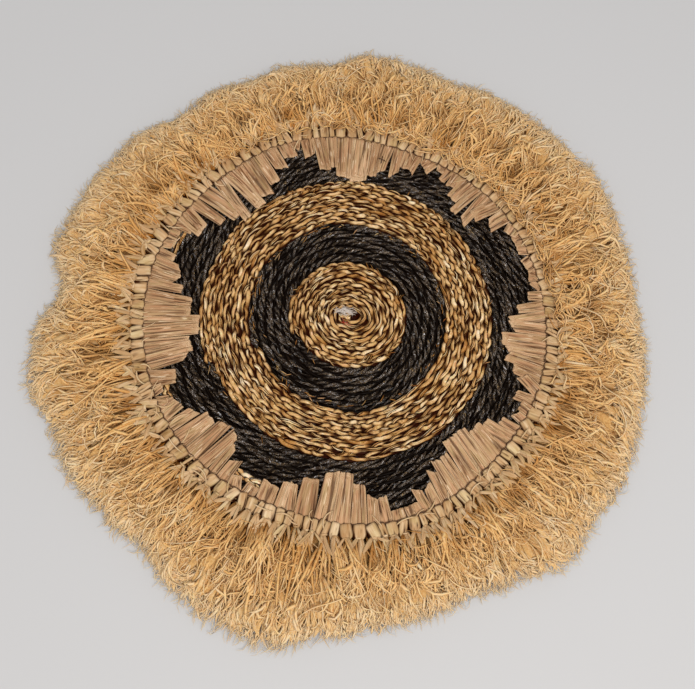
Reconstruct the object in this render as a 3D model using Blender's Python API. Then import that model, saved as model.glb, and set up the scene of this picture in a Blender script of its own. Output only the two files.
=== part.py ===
"""Round placemat of coiled, sewn cord with stepped raffia panels and a long raffia fringe.

Metres, +Z up. The origin is the middle of the coil, at the level of the table it lies on.
Angles are in degrees, anticlockwise from +X, seen from above.
"""
import math
import random

import bmesh
import bpy

MM = 0.001
GAP = 0.3 * MM                      # clearance between neighbouring pieces

# The coil: four lengths of plaited or twisted cord, each coiled flat round the one before it
CREST = 6.0 * MM                    # the back of a turn, above the table
VALLEY = 4.2 * MM                   # the groove between two turns
COIL_LENGTHS = (
    # piece, outer radius, turns, facets round, finish
    ("coil_centre", 45.8 * MM, 7, 24, "natural cord"),
    ("coil_dark_ring", 80.0 * MM, 5, 32, "dyed cord"),
    ("coil_natural_band", 118.7 * MM, 6, 40, "natural cord"),
    ("coil_dark_border", 162.7 * MM, 7, 48, "dyed cord"),
)

# The sewn edge round the dark border isn't a true circle
EDGE_RADIUS = 162.7 * MM
EDGE_WAVES = (
    # crests round the edge, height, angle of one crest
    (1, 2.4 * MM, 243),
    (2, 1.5 * MM, 175),
    (4, 1.3 * MM, 18),
    (6, 1.2 * MM, 41),
)

# Raffia panels, laid over the border in ribbons whose inner ends step in and out
RIBBON_WIDTH = 7.5 * MM
RIBBON_SIDE = 0.9 * MM              # thickness where two ribbons meet
RIBBON_RIDGE = 1.7 * MM             # thickness along a ribbon's middle
RIDGE_SPREAD = 0.25 * MM            # how much the ridges differ
PANELS = {
    # first angle, then each step's last angle and the radius of its inner end in mm
    1: (-26.7, ((-20.0, 148), (-16.5, 140), (-10.0, 133), (-5.2, 126), (2.3, 134.5), (5.5, 141), (8.6, 150))),
    2: (31.9, ((36.6, 145), (40.8, 139), (47.6, 129), (51.8, 137), (58.5, 146))),
    3: (66.1, ((72.3, 141), (79.8, 131), (83.0, 125), (89.1, 119.5), (94.0, 124), (101.5, 132), (106.0, 145))),
    4: (109.4, ((112.8, 149), (117.5, 141), (121.5, 133), (128.0, 125), (136.0, 119.5), (142.0, 126),
                (145.8, 133), (151.2, 141), (153.7, 149))),
    5: (160.6, ((163.2, 151), (170.2, 143), (173.3, 138), (181.5, 128), (188.2, 122), (194.7, 129),
                (197.2, 135), (201.6, 147))),
    6: (206.9, ((211.6, 152), (215.1, 145), (220.7, 138), (228.6, 131), (231.4, 139), (235.3, 147))),
    7: (243.4, ((248.9, 147), (254.7, 141), (260.4, 134), (270.1, 126), (274.6, 135), (281.4, 146))),
    8: (289.8, ((295.4, 148), (298.5, 141), (304.6, 134), (313.7, 127), (318.9, 133), (323.7, 139),
                (326.8, 148))),
}

# The bound edge: one turn of cord, wrapped across with raffia
EDGE_WIDTH = 11.0 * MM
EDGE_SHOULDER = 6.8 * MM            # height of its two sides
EDGE_CREST = 9.2 * MM
WRAPS = 120
PINCH = 0.8 * MM                    # how far the binding dips between two wraps

# The fringe: eight lengths, each a sewn heading with locks of raffia in two staggered rows
SECTIONS = 8
HEADING_WIDTH = 3.0 * MM
HEADING_HEIGHT = 8.0 * MM
COLUMNS = 28                        # root places along a section, lower and upper row in turn
REACH_MM = {
    # radius of the locks' tips, at five even places along each section
    1: (244, 249, 253, 258, 252),
    2: (251, 248, 240, 244, 247),
    3: (235, 237, 232, 235, 230),
    4: (241, 243, 244, 248, 233),
    5: (250, 257, 248, 248, 243),
    6: (239, 249, 255, 258, 246),
    7: (240, 239, 236, 243, 257),
    8: (253, 256, 253, 251, 249),
}
LOWER_LOCK = {
    # share of the way to the tip, half width and thickness at the bend and at the tip
    "bend": 0.5, "bend_half_width": 4.6 * MM, "bend_thickness": 4.6 * MM,
    "tip_half_width": 4.4 * MM, "tip_thickness": 1.6 * MM,
}
UPPER_LOCK = {
    "bend": 0.42, "bend_height": 15.5 * MM, "bend_half_width": 4.4 * MM, "bend_thickness": 4.0 * MM,
    "tip_reach": 0.95, "tip_height": 10.0 * MM, "tip_half_width": 4.0 * MM, "tip_thickness": 1.6 * MM,
    "spread": 2.5 * MM,
}
CURLED_LOCK = {
    # stands up from the heading and leans back over the bound edge
    "bend_out": 9.0 * MM, "bend_height": 17.0 * MM, "bend_slope": 107, "bend_half_width": 3.4 * MM,
    "bend_thickness": 3.4 * MM,
    "tip_out": -11.0 * MM, "tip_height": 22.5 * MM, "tip_slope": 164, "tip_half_width": 2.2 * MM,
    "tip_thickness": 1.4 * MM,
}
CURLED_FROM, CURLED_TO = 14, 80     # where every second upper lock is curled

FINISHES = {
    # colour, roughness
    "natural cord": ((0.50, 0.31, 0.13, 1), 0.62),
    "dyed cord": ((0.035, 0.024, 0.018, 1), 0.45),
    "raffia": ((0.62, 0.42, 0.25, 1), 0.6),
    "binding": ((0.68, 0.49, 0.28, 1), 0.6),
    "fringe": ((0.70, 0.48, 0.24, 1), 0.65),
}


def clear_scene():
    for thing in list(bpy.data.objects):
        bpy.data.objects.remove(thing)


def finish(name):
    """The material of one finish, made once."""
    if name in bpy.data.materials:
        return bpy.data.materials[name]
    colour, roughness = FINISHES[name]
    material = bpy.data.materials.new(name)
    material.use_nodes = True
    shader = material.node_tree.nodes["Principled BSDF"]
    shader.inputs["Base Color"].default_value = colour
    shader.inputs["Roughness"].default_value = roughness
    shader.inputs["Metallic"].default_value = 0.0
    return material


def add_piece(name, bm, finish_name, parent):
    """Turn a finished bmesh into a named object that hangs on the mat's empty."""
    bmesh.ops.recalc_face_normals(bm, faces=bm.faces)
    mesh = bpy.data.meshes.new(name)
    bm.to_mesh(mesh)
    bm.free()
    mesh.materials.append(finish(finish_name))
    piece = bpy.data.objects.new(name, mesh)
    piece.parent = parent
    bpy.context.collection.objects.link(piece)
    return piece


def edge_offset(degrees):
    """How far the sewn edge stands outside its mean circle at an angle."""
    return sum(height * math.cos(math.radians(crests * (degrees - crest_angle)))
               for crests, height, crest_angle in EDGE_WAVES)


def place(degrees, radius, height):
    """A point of the mat from its angle, radius and height."""
    angle = math.radians(degrees)
    return (radius * math.cos(angle), radius * math.sin(angle), height)


def degrees_of(point):
    return math.degrees(math.atan2(point.y, point.x))


def move_to_radius(vert, radius):
    """Slide a vertex along its ray from the middle."""
    scale = radius / math.hypot(vert.co.x, vert.co.y)
    vert.co.x *= scale
    vert.co.y *= scale


def turned(section, facets, degrees=360.0, start=0.0):
    """Spin a closed section of (radius, height) points round the mat's axis."""
    bm = bmesh.new()
    face = bm.faces.new([bm.verts.new(place(start, radius, height)) for radius, height in section])
    geometry = [*bm.verts, *bm.edges, face]
    bmesh.ops.spin(bm, geom=geometry, cent=(0, 0, 0), axis=(0, 0, 1), angle=math.radians(degrees),
                   steps=facets, use_merge=False, use_duplicate=False)
    if degrees == 360.0:
        ends = [f for f in bm.faces if len(f.verts) == len(section) and abs(f.normal.z) < 0.5
                and all(abs(v.co.y) < GAP / 10 and v.co.x > -GAP / 10 for v in f.verts)]
        bmesh.ops.delete(bm, geom=ends, context="FACES_ONLY")
        bmesh.ops.remove_doubles(bm, verts=bm.verts, dist=GAP / 100)
    return bm


def coil_section(inner, outer, turns):
    """The cut through one length of coiled cord: a flat base and a rounded back for each turn."""
    pitch = (outer - inner) / turns
    section = [(inner, 0.0), (outer, 0.0)]
    for turn in range(turns, 0, -1):
        section.append((inner + turn * pitch, VALLEY))
        section.append((inner + (turn - 0.5) * pitch, CREST))
    if inner > 0:
        section.append((inner, VALLEY))
    else:
        section[-1] = (0.0, CREST)  # the innermost turn closes on itself as a button
    return section


def coil_length(name, inner, outer, turns, facets, finish_name, parent):
    """One length of cord. The border's outer turns follow the uneven edge."""
    bm = turned(coil_section(inner, outer, turns), facets)
    if outer >= EDGE_RADIUS:
        for vert in bm.verts:
            radius = math.hypot(vert.co.x, vert.co.y)
            share = (radius - inner) / (outer - inner)
            move_to_radius(vert, radius + share * edge_offset(degrees_of(vert.co)))
    return add_piece(name, bm, finish_name, parent)


def ribbons_of(first_angle, steps):
    """Divide a panel's steps into ribbons: start, end and inner radius of each."""
    ribbons, start = [], first_angle
    for end, inner_mm in steps:
        inner = inner_mm * MM
        count = max(1, round(math.radians(end - start) * inner / RIBBON_WIDTH))
        width = (end - start) / count
        ribbons += [(start + i * width, start + (i + 1) * width, inner) for i in range(count)]
        start = end
    return ribbons


def raffia_panel(name, first_angle, steps, parent):
    """A panel of ribbons side by side, from their stepped inner ends out to the sewn edge."""
    base = CREST + GAP
    ridges = random.Random(name)
    ribbons = ribbons_of(first_angle, steps)
    bm = bmesh.new()
    corners = {}

    def corner(degrees, radius, thickness):
        key = (round(degrees, 4), round(radius, 7))
        if key not in corners:
            corners[key] = bm.verts.new(place(degrees, radius, base + thickness))
        return corners[key]

    for i, (start, end, inner) in enumerate(ribbons):
        middle = (start + end) / 2
        ridge = RIBBON_RIDGE + ridges.uniform(-RIDGE_SPREAD, RIDGE_SPREAD)
        ridge_line = [corner(middle, EDGE_RADIUS + edge_offset(middle), ridge), corner(middle, inner, ridge)]
        for side, neighbour in ((start, i - 1), (end, i + 1)):
            side_line = [corner(side, EDGE_RADIUS + edge_offset(side), RIBBON_SIDE)]
            if 0 <= neighbour < len(ribbons) and ribbons[neighbour][2] > inner:
                side_line.append(corner(side, ribbons[neighbour][2], RIBBON_SIDE))
            side_line.append(corner(side, inner, RIBBON_SIDE))
            bm.faces.new(ridge_line + side_line[::-1])
    bmesh.ops.recalc_face_normals(bm, faces=bm.faces)
    under = bmesh.ops.extrude_face_region(bm, geom=list(bm.faces))["geom"]
    for vert in under:
        if isinstance(vert, bmesh.types.BMVert):
            vert.co.z = base
    return add_piece(name, bm, "raffia", parent)


def bound_edge(parent):
    """The wrapped turn of cord round the outside of the coil, pinched between its wraps."""
    inner, outer = EDGE_RADIUS + GAP, EDGE_RADIUS + EDGE_WIDTH
    section = [(inner, 0.0), (outer, 0.0), (outer, EDGE_SHOULDER), ((inner + outer) / 2, EDGE_CREST),
               (inner, EDGE_SHOULDER)]
    bm = turned(section, 2 * WRAPS)
    for vert in bm.verts:
        degrees = degrees_of(vert.co)
        radius = math.hypot(vert.co.x, vert.co.y)
        if round(degrees / 360 * 2 * WRAPS) % 2:
            vert.co.z -= PINCH if vert.co.z > 0 else 0
            radius -= PINCH if radius > outer - GAP else 0
        move_to_radius(vert, radius + edge_offset(degrees))
    return add_piece("bound_edge", bm, "binding", parent)


def reach(degrees):
    """Radius of the fringe's outline at an angle, between the even places of its table."""
    places = [value for section in sorted(REACH_MM) for value in REACH_MM[section]]
    position = (degrees / 360 * len(places) - 0.5) % len(places)
    before = int(position)
    share = (1 - math.cos(math.pi * (position - before))) / 2
    return MM * (places[before] * (1 - share) + places[(before + 1) % len(places)] * share)


def lock_sections(kind, degrees, root_radius, chance):
    """A lock's bend and tip: radius, height, slope, half width and thickness of each."""
    tip = reach(degrees) - chance.uniform(0, 5) * MM
    if kind == "curled":
        lock = CURLED_LOCK
        return (
            (root_radius + lock["bend_out"], lock["bend_height"], lock["bend_slope"],
             lock["bend_half_width"], lock["bend_thickness"]),
            (root_radius + lock["tip_out"], lock["tip_height"], lock["tip_slope"],
             lock["tip_half_width"], lock["tip_thickness"]),
        )
    lock = LOWER_LOCK if kind == "lower" else UPPER_LOCK
    bend = root_radius + lock["bend"] * (tip - root_radius)
    if kind == "lower":
        bend_height, tip_height = lock["bend_thickness"] / 2, lock["tip_thickness"] / 2
    else:
        lift = chance.uniform(-1, 1) * lock["spread"]
        bend_height, tip_height = lock["bend_height"] + lift, lock["tip_height"] + lift
        tip = root_radius + lock["tip_reach"] * (tip - root_radius)
    return (
        (bend, bend_height, 0, lock["bend_half_width"], lock["bend_thickness"]),
        (tip, tip_height, 0, lock["tip_half_width"], lock["tip_thickness"]),
    )


def grow_lock(bm, root, degrees, sections):
    """Extrude a lock from its root face through its bend to its tip."""
    middle = root.calc_center_median()
    across = (-math.sin(math.radians(degrees)), math.cos(math.radians(degrees)))
    sides = []
    for vert in root.verts:
        sideways = (vert.co.x - middle.x) * across[0] + (vert.co.y - middle.y) * across[1]
        sides.append((math.copysign(1, sideways), math.copysign(1, vert.co.z - middle.z)))
    face = root
    for radius, height, slope, half_width, thickness in sections:
        face = bmesh.ops.extrude_discrete_faces(bm, faces=[face])["faces"][0]
        lean = math.radians(slope)
        for vert, (side, level) in zip(face.verts, sides):
            out = radius - level * thickness / 2 * math.sin(lean)
            x, y, z = place(degrees, out, height + level * thickness / 2 * math.cos(lean))
            vert.co = (x + side * half_width * across[0], y + side * half_width * across[1], z)


def fringe_section(number, parent):
    """One length of fringe: its heading outside the bound edge, and its two rows of locks."""
    chance = random.Random(number)
    span = 360 / SECTIONS
    start = (number - 1) * span
    inner = EDGE_RADIUS + EDGE_WIDTH + GAP
    outer = inner + HEADING_WIDTH
    parting = math.degrees(GAP / outer)
    section = [(inner, 0.0), (outer, 0.0), (outer, HEADING_HEIGHT / 2), (outer, HEADING_HEIGHT),
               (inner, HEADING_HEIGHT)]
    bm = turned(section, COLUMNS, span - parting, start + parting / 2)
    roots = {}
    for face in bm.faces:
        if all(math.hypot(v.co.x, v.co.y) > outer - GAP for v in face.verts):
            middle = face.calc_center_median()
            column = int((degrees_of(middle) - start) % 360 / (span / COLUMNS))
            roots[column, middle.z > HEADING_HEIGHT / 2] = face
    for vert in bm.verts:
        radius = math.hypot(vert.co.x, vert.co.y)
        move_to_radius(vert, radius + edge_offset(degrees_of(vert.co)))
    for column in range(COLUMNS):
        upper = column % 2 == 1
        root = roots[column, upper]
        degrees = degrees_of(root.calc_center_median())
        kind = "upper" if upper else "lower"
        if column % 4 == 1 and CURLED_FROM < degrees < CURLED_TO:
            kind = "curled"
        root_radius = outer + edge_offset(degrees)
        grow_lock(bm, root, degrees, lock_sections(kind, degrees, root_radius, chance))
    return add_piece(f"fringe_{number}", bm, "fringe", parent)


def build():
    clear_scene()
    mat = bpy.data.objects.new("placemat", None)
    bpy.context.collection.objects.link(mat)
    inner = 0.0
    for name, outer, turns, facets, finish_name in COIL_LENGTHS:
        coil_length(name, inner, outer, turns, facets, finish_name, mat)
        inner = outer + GAP
    for number, (first_angle, steps) in PANELS.items():
        raffia_panel(f"raffia_panel_{number}", first_angle, steps, mat)
    bound_edge(mat)
    for number in range(1, SECTIONS + 1):
        fringe_section(number, mat)


build()
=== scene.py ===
# Round raffia placemat: coiled cord, stepped raffia panels, a bound edge and a long shaggy fringe.
# Metres, +Z up. The middle of the coil is the origin and the mat lies on z = 0.
# Angles are in degrees, anticlockwise from +X, as seen from above.
import math

import bpy
import numpy as np
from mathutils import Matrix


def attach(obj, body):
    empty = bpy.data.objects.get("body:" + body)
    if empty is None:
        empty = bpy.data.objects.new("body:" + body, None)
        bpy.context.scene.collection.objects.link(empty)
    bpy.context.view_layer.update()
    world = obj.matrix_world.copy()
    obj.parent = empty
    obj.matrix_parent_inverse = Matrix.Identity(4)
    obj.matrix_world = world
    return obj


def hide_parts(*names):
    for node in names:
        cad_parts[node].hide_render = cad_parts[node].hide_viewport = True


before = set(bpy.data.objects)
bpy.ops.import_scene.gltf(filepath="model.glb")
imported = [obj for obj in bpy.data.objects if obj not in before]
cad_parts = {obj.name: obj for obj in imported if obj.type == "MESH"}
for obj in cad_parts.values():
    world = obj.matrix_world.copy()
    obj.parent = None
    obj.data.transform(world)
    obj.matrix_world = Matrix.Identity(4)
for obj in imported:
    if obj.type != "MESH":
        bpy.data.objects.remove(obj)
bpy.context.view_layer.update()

mm = 0.001
turn = 2 * math.pi
print("frame loaded:", len(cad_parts), "nodes")


# Shape of the mat, shared by all of its pieces
mat = {
    "edgeRadius": 162.7 * mm,
    "edgeWaves": ((1, 2.4 * mm, 243), (2, 1.5 * mm, 175), (4, 1.3 * mm, 18), (6, 1.2 * mm, 41)),
    "edgeWidth": 11.0 * mm,
    # radius of the fringe's tips, at five even places along each eighth of the mat
    "reachMm": (
        (244, 249, 253, 258, 252), (251, 248, 240, 244, 247), (235, 237, 232, 235, 230),
        (241, 243, 244, 248, 233), (250, 257, 248, 248, 243), (239, 249, 255, 258, 246),
        (240, 239, 236, 243, 257), (253, 256, 253, 251, 249),
    ),
    # height of the fringe's surface from its roots (0) to its tips (1)
    "domeShare": (-0.2, 0.0, 0.1, 0.3, 0.55, 0.8, 0.93, 1.02, 1.2),
    "domeHeightMm": (10.2, 10.5, 12.5, 17.5, 17.5, 13.0, 8.0, 3.0, 1.2),
    "lumpHeight": 3.4 * mm, "lumpSize": 0.030,
    "lumpShare": (0.0, 0.15, 0.8, 1.0), "lumpFade": (0.1, 1.0, 0.8, 0.1),
    "overFloor": 0.05 * mm,                 # no strand lies lower than this
}


def edgeAt(angle):
    waves = sum(height * np.cos(np.radians(crests * (angle - crest)))
                for crests, height, crest in mat["edgeWaves"])
    return mat["edgeRadius"] + waves


def rootAt(angle):
    return edgeAt(angle) + mat["edgeWidth"]


def reachAt(angle):
    tips = np.array(mat["reachMm"], float).ravel() * mm
    place = (angle / 360 * len(tips) - 0.5) % len(tips)
    before = place.astype(int) % len(tips)
    share = (1 - np.cos(np.pi * (place - np.floor(place)))) / 2
    return tips[before] * (1 - share) + tips[(before + 1) % len(tips)] * share


def polarOf(points):
    angle = np.degrees(np.arctan2(points[..., 1], points[..., 0])) % 360
    return angle, np.hypot(points[..., 0], points[..., 1])


def onMat(angle, radius, height):
    angle, radius, height = np.broadcast_arrays(np.radians(angle), radius, height)
    return np.stack([radius * np.cos(angle), radius * np.sin(angle), height], -1)


def ripple(points, size, seed):
    # an even random swell over the mat, about -1 to 1, with crests a given size apart
    chance = np.random.default_rng(seed)
    total = np.zeros(points.shape[:-1])
    for _ in range(7):
        way = chance.uniform(0, turn)
        wave = turn / (size * chance.uniform(0.7, 1.5))
        total += np.sin(wave * (points[..., 0] * math.cos(way) + points[..., 1] * math.sin(way))
                        + chance.uniform(0, turn))
    return total / 3.2


def fringeShare(points):
    angle, radius = polarOf(points)
    root = rootAt(angle)
    return (radius - root) / (reachAt(angle) - root)


def domeAt(points):
    share = fringeShare(points)
    height = np.interp(share, mat["domeShare"], np.array(mat["domeHeightMm"]) * mm)
    lump = ripple(points, mat["lumpSize"], 5) * np.interp(share, mat["lumpShare"], mat["lumpFade"])
    return np.maximum(height + mat["lumpHeight"] * lump, 1.0 * mm)


# Sweeping many strands at once: arrays are (strand, step, ...)
roundSection = {
    sides: np.array([(math.cos(turn * i / sides + math.pi / 2), math.sin(turn * i / sides + math.pi / 2))
                     for i in range(sides)]) for sides in range(3, 9)
}


def unit(vectors):
    return vectors / np.maximum(np.linalg.norm(vectors, axis=-1, keepdims=True), 1e-9)


def runOn(way, length):
    # points at an even pace, with a heading at each step
    pace = np.stack([np.cos(way), np.sin(way)], -1)
    return np.cumsum(pace * (length / way.shape[1])[:, None, None], axis=1)


def raised(flat, height):
    return np.concatenate([flat, np.broadcast_to(height, flat.shape[:-1])[..., None]], -1)


def frameAlong(path, roll=0.0):
    # across and upward directions at each point of each path, rolled about the path
    forward = unit(np.gradient(path, axis=1))
    side = unit(np.cross(np.array((0.0, 0.0, 1.0)), forward) + np.array((1e-6, 0.0, 0.0)))
    up = np.cross(forward, side)
    roll = np.asarray(roll)[..., None]
    return side * np.cos(roll) + up * np.sin(roll), up * np.cos(roll) - side * np.sin(roll)


def sweep(path, across, upward, halfWidth, halfDepth, section):
    # section is (sides, 2), or (strand, step, sides, 2) where it changes along the strand
    wide = (np.asarray(halfWidth)[..., None] * section[..., 0])[..., None]
    deep = (np.asarray(halfDepth)[..., None] * section[..., 1])[..., None]
    return path[:, :, None] + across[:, :, None] * wide + upward[:, :, None] * deep


def roundStrands(path, halfWidth, halfDepth, sides):
    across, upward = frameAlong(path)
    size = np.ones(path.shape[:2])
    return sweep(path, across, upward, halfWidth * size, halfDepth * size, roundSection[sides])


def ribbonSection(across, top, under, underHeight):
    # a ribbon's folded top and its plain underside, point by point
    over = np.stack([np.broadcast_to(across, top.shape), top], -1)[:, :, ::-1]
    shape = top.shape[:2] + (len(under),)
    under = np.stack([np.broadcast_to(under, shape), np.broadcast_to(underHeight, shape)], -1)
    return np.concatenate([over, under], 2)


def ribbonShade(top, under, underPoints):
    # one painted shade value for each point of a ribbon's section
    return np.concatenate([top[:, :, ::-1], np.full(top.shape[:2] + (underPoints,), under)], 2)


def shapeRibbons(path, halfWidth, section, roll=0.0):
    across, upward = frameAlong(path, roll)
    return sweep(path, across, upward, halfWidth, np.ones(path.shape[:2]), section)


def eachPoint(value, shape):
    # one value, or one for each strand or for each of its steps, spread over the strand's points
    value = np.asarray(value, float)
    if value.ndim:
        value = value.reshape(value.shape + (1,) * (3 - value.ndim))
    return np.broadcast_to(value, shape)


def strandSet(rings, tone, paintedLight, length):
    # what joinStrands needs of one family of strands; the map along each one is in cm
    shape = rings.shape[:3]
    along = np.linspace(0, 1, shape[1])[None, :] * (np.asarray(length) / mm / 10).reshape(-1, 1)
    return {"rings": rings, "tone": eachPoint(tone, shape), "paintedLight": eachPoint(paintedLight, shape), "along": along}


def loopsOf(strands, firstVertex):
    # face corners, their place round and along the strand, and the corners in each face
    count, steps, sides = strands["rings"].shape[:3]
    vertex = firstVertex + np.arange(count * steps * sides).reshape(count, steps, sides)
    strand = np.arange(count)[:, None, None]
    step = np.arange(steps - 1)[None, :, None]
    side = np.arange(sides)[None, None, :]
    corners, around, rows, owner = [], [], [], []
    for ahead, beside in ((0, 0), (0, 1), (1, 1), (1, 0)):
        corners.append(vertex[strand, step + ahead, (side + beside) % sides])
        around.append(np.broadcast_to(side + beside, corners[-1].shape))
        rows.append(np.broadcast_to(step + ahead, corners[-1].shape))
        owner.append(np.broadcast_to(strand, corners[-1].shape))
    quads = [np.stack(part, -1).ravel() for part in (corners, around, rows, owner)]
    ends = []
    for row, order in ((0, np.arange(sides)[::-1]), (steps - 1, np.arange(sides))):
        ends.append((vertex[:, row][:, order].ravel(), np.tile(order, count),
                     np.full(count * sides, row), np.repeat(np.arange(count), sides)))
    parts = [np.concatenate([quads[i], ends[0][i], ends[1][i]]) for i in range(4)]
    isEnd = np.concatenate([np.zeros(quads[0].size, bool), np.ones(2 * count * sides, bool)])
    faces = np.concatenate([np.full(quads[0].size // 4, 4), np.full(2 * count, sides)])
    return parts, isEnd, faces


def bakeCells(parts, isEnd, strands, firstCell, cells):
    # a cell of the bake map for each strand: its sides lie next to each other in it
    steps, sides = strands["rings"].shape[1:3]
    columns = math.ceil(math.sqrt(cells * 1.6))
    lines = math.ceil(cells / columns)
    around, rows, owner = parts[1:]
    swing = turn * around / sides
    out = rows / (steps - 1)
    u = np.where(isEnd, 0.5 + 0.4 * np.cos(swing), around / sides)
    v = np.where(isEnd, out * 0.94 + 0.03 + 0.02 * np.sin(swing), out)
    column, line = (firstCell + owner) % columns, (firstCell + owner) // columns
    return np.stack([(column + 0.04 + 0.92 * u) / columns, (line + 0.04 + 0.92 * v) / lines], -1)


def joinStrands(name, sets, material):
    # one closed mesh piece from all of its strands
    cells = sum(strands["rings"].shape[0] for strands in sets)
    corners, faces, strandMap, bakeMap = [], [], [], []
    firstVertex = firstCell = 0
    for strands in sets:
        parts, isEnd, faceSizes = loopsOf(strands, firstVertex)
        sides = strands["rings"].shape[2]
        corners.append(parts[0])
        faces.append(faceSizes)
        along = strands["along"][parts[3] % len(strands["along"]), parts[2]]
        strandMap.append(np.stack([parts[1] / sides, along], -1))
        bakeMap.append(bakeCells(parts, isEnd, strands, firstCell, cells))
        firstVertex += strands["rings"][..., 0].size
        firstCell += strands["rings"].shape[0]
    faces = np.concatenate(faces)
    mesh = bpy.data.meshes.new(name)
    mesh.vertices.add(firstVertex)
    mesh.vertices.foreach_set("co", np.concatenate([s["rings"].reshape(-1) for s in sets]).astype(np.float32))
    corners = np.concatenate(corners)
    mesh.loops.add(len(corners))
    mesh.loops.foreach_set("vertex_index", corners.astype(np.int32))
    mesh.polygons.add(len(faces))
    mesh.polygons.foreach_set("loop_start", (np.cumsum(faces) - faces).astype(np.int32))
    mesh.polygons.foreach_set("use_smooth", np.ones(len(faces), bool))
    mesh.update(calc_edges=True)
    for mapName, places in (("strand", strandMap), ("OFBake", bakeMap)):
        layer = mesh.uv_layers.new(name=mapName)
        layer.data.foreach_set("uv", np.concatenate(places).astype(np.float32).ravel())
    for shade in ("tone", "paintedLight"):
        values = np.concatenate([s[shade].reshape(-1) for s in sets]).astype(np.float32)
        mesh.attributes.new(shade, "FLOAT", "POINT").data.foreach_set("value", values)
    mesh.validate()
    mesh.materials.append(material)
    piece = bpy.data.objects.new(name, mesh)
    bpy.context.scene.collection.objects.link(piece)
    return piece


def place(piece, slot, *nodes):
    # every piece rides on the mat's one body and stands for its own solids
    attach(piece, "root")
    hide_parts(*nodes)


# Finishes. Every strand carries its tone, its painted light from how deep it lies in the work (low for
# painted shade), and a map laid along it
def addNode(tree, kind, inputs=(), **settings):
    node = tree.nodes.new(kind)
    for name, value in settings.items():
        setattr(node, name, value)
    for socket, value in dict(inputs).items():
        if hasattr(value, "is_linked"):
            tree.links.new(value, node.inputs[socket])
        else:
            node.inputs[socket].default_value = value
    return node


def calculate(tree, operation, first, second):
    return addNode(tree, "ShaderNodeMath", {0: first, 1: second}, operation=operation).outputs[0]


def attributeOf(tree, name):
    return addNode(tree, "ShaderNodeAttribute", attribute_name=name).outputs["Fac"]


def rampOf(tree, value, stops):
    node = addNode(tree, "ShaderNodeValToRGB", {0: value})
    elements = node.color_ramp.elements
    while len(elements) < len(stops):
        elements.new(0.5)
    for element, (position, colour) in zip(elements, stops):
        element.position = position
        element.color = (*colour, 1)
    return node.outputs[0]


def spread(tree, value, low, high):
    return addNode(tree, "ShaderNodeMapRange", {"Value": value, "From Min": low, "From Max": high}).outputs[0]


def blendOf(tree, share, first, second, mode="MIX"):
    inputs = {0: share, 6: first, 7: second}
    return addNode(tree, "ShaderNodeMix", inputs, data_type="RGBA", blend_type=mode).outputs[2]


def mapOf(tree):
    # the map laid along each strand: its place across and along
    laid = addNode(tree, "ShaderNodeUVMap", uv_map="strand")
    return addNode(tree, "ShaderNodeSeparateXYZ", {0: laid.outputs[0]}).outputs


# how far each kind of noise is moved from the grain's, so that no two follow the same pattern
noiseShift = {"tone": 61.0, "blotch": 7.3, "patch": 11.9, "fleck": 3.1, "fleckTint": 5.7}


def strandNoise(tree, grain, detail=3.0, shift=0.0):
    # noise that runs with the strand, different on each one; grain is how fine it is across and along
    laid = mapOf(tree)
    tone = calculate(tree, "MULTIPLY", attributeOf(tree, "tone"), noiseShift["tone"])
    spot = addNode(tree, "ShaderNodeCombineXYZ", {
        0: calculate(tree, "MULTIPLY", laid[0], grain[0]),
        1: calculate(tree, "MULTIPLY", laid[1], grain[1]),
        2: calculate(tree, "ADD", tone, shift),
    })
    inputs = {"Vector": spot.outputs[0], "Scale": 1.0, "Detail": detail, "Roughness": 0.6}
    return addNode(tree, "ShaderNodeTexNoise", inputs).outputs[0]
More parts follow.
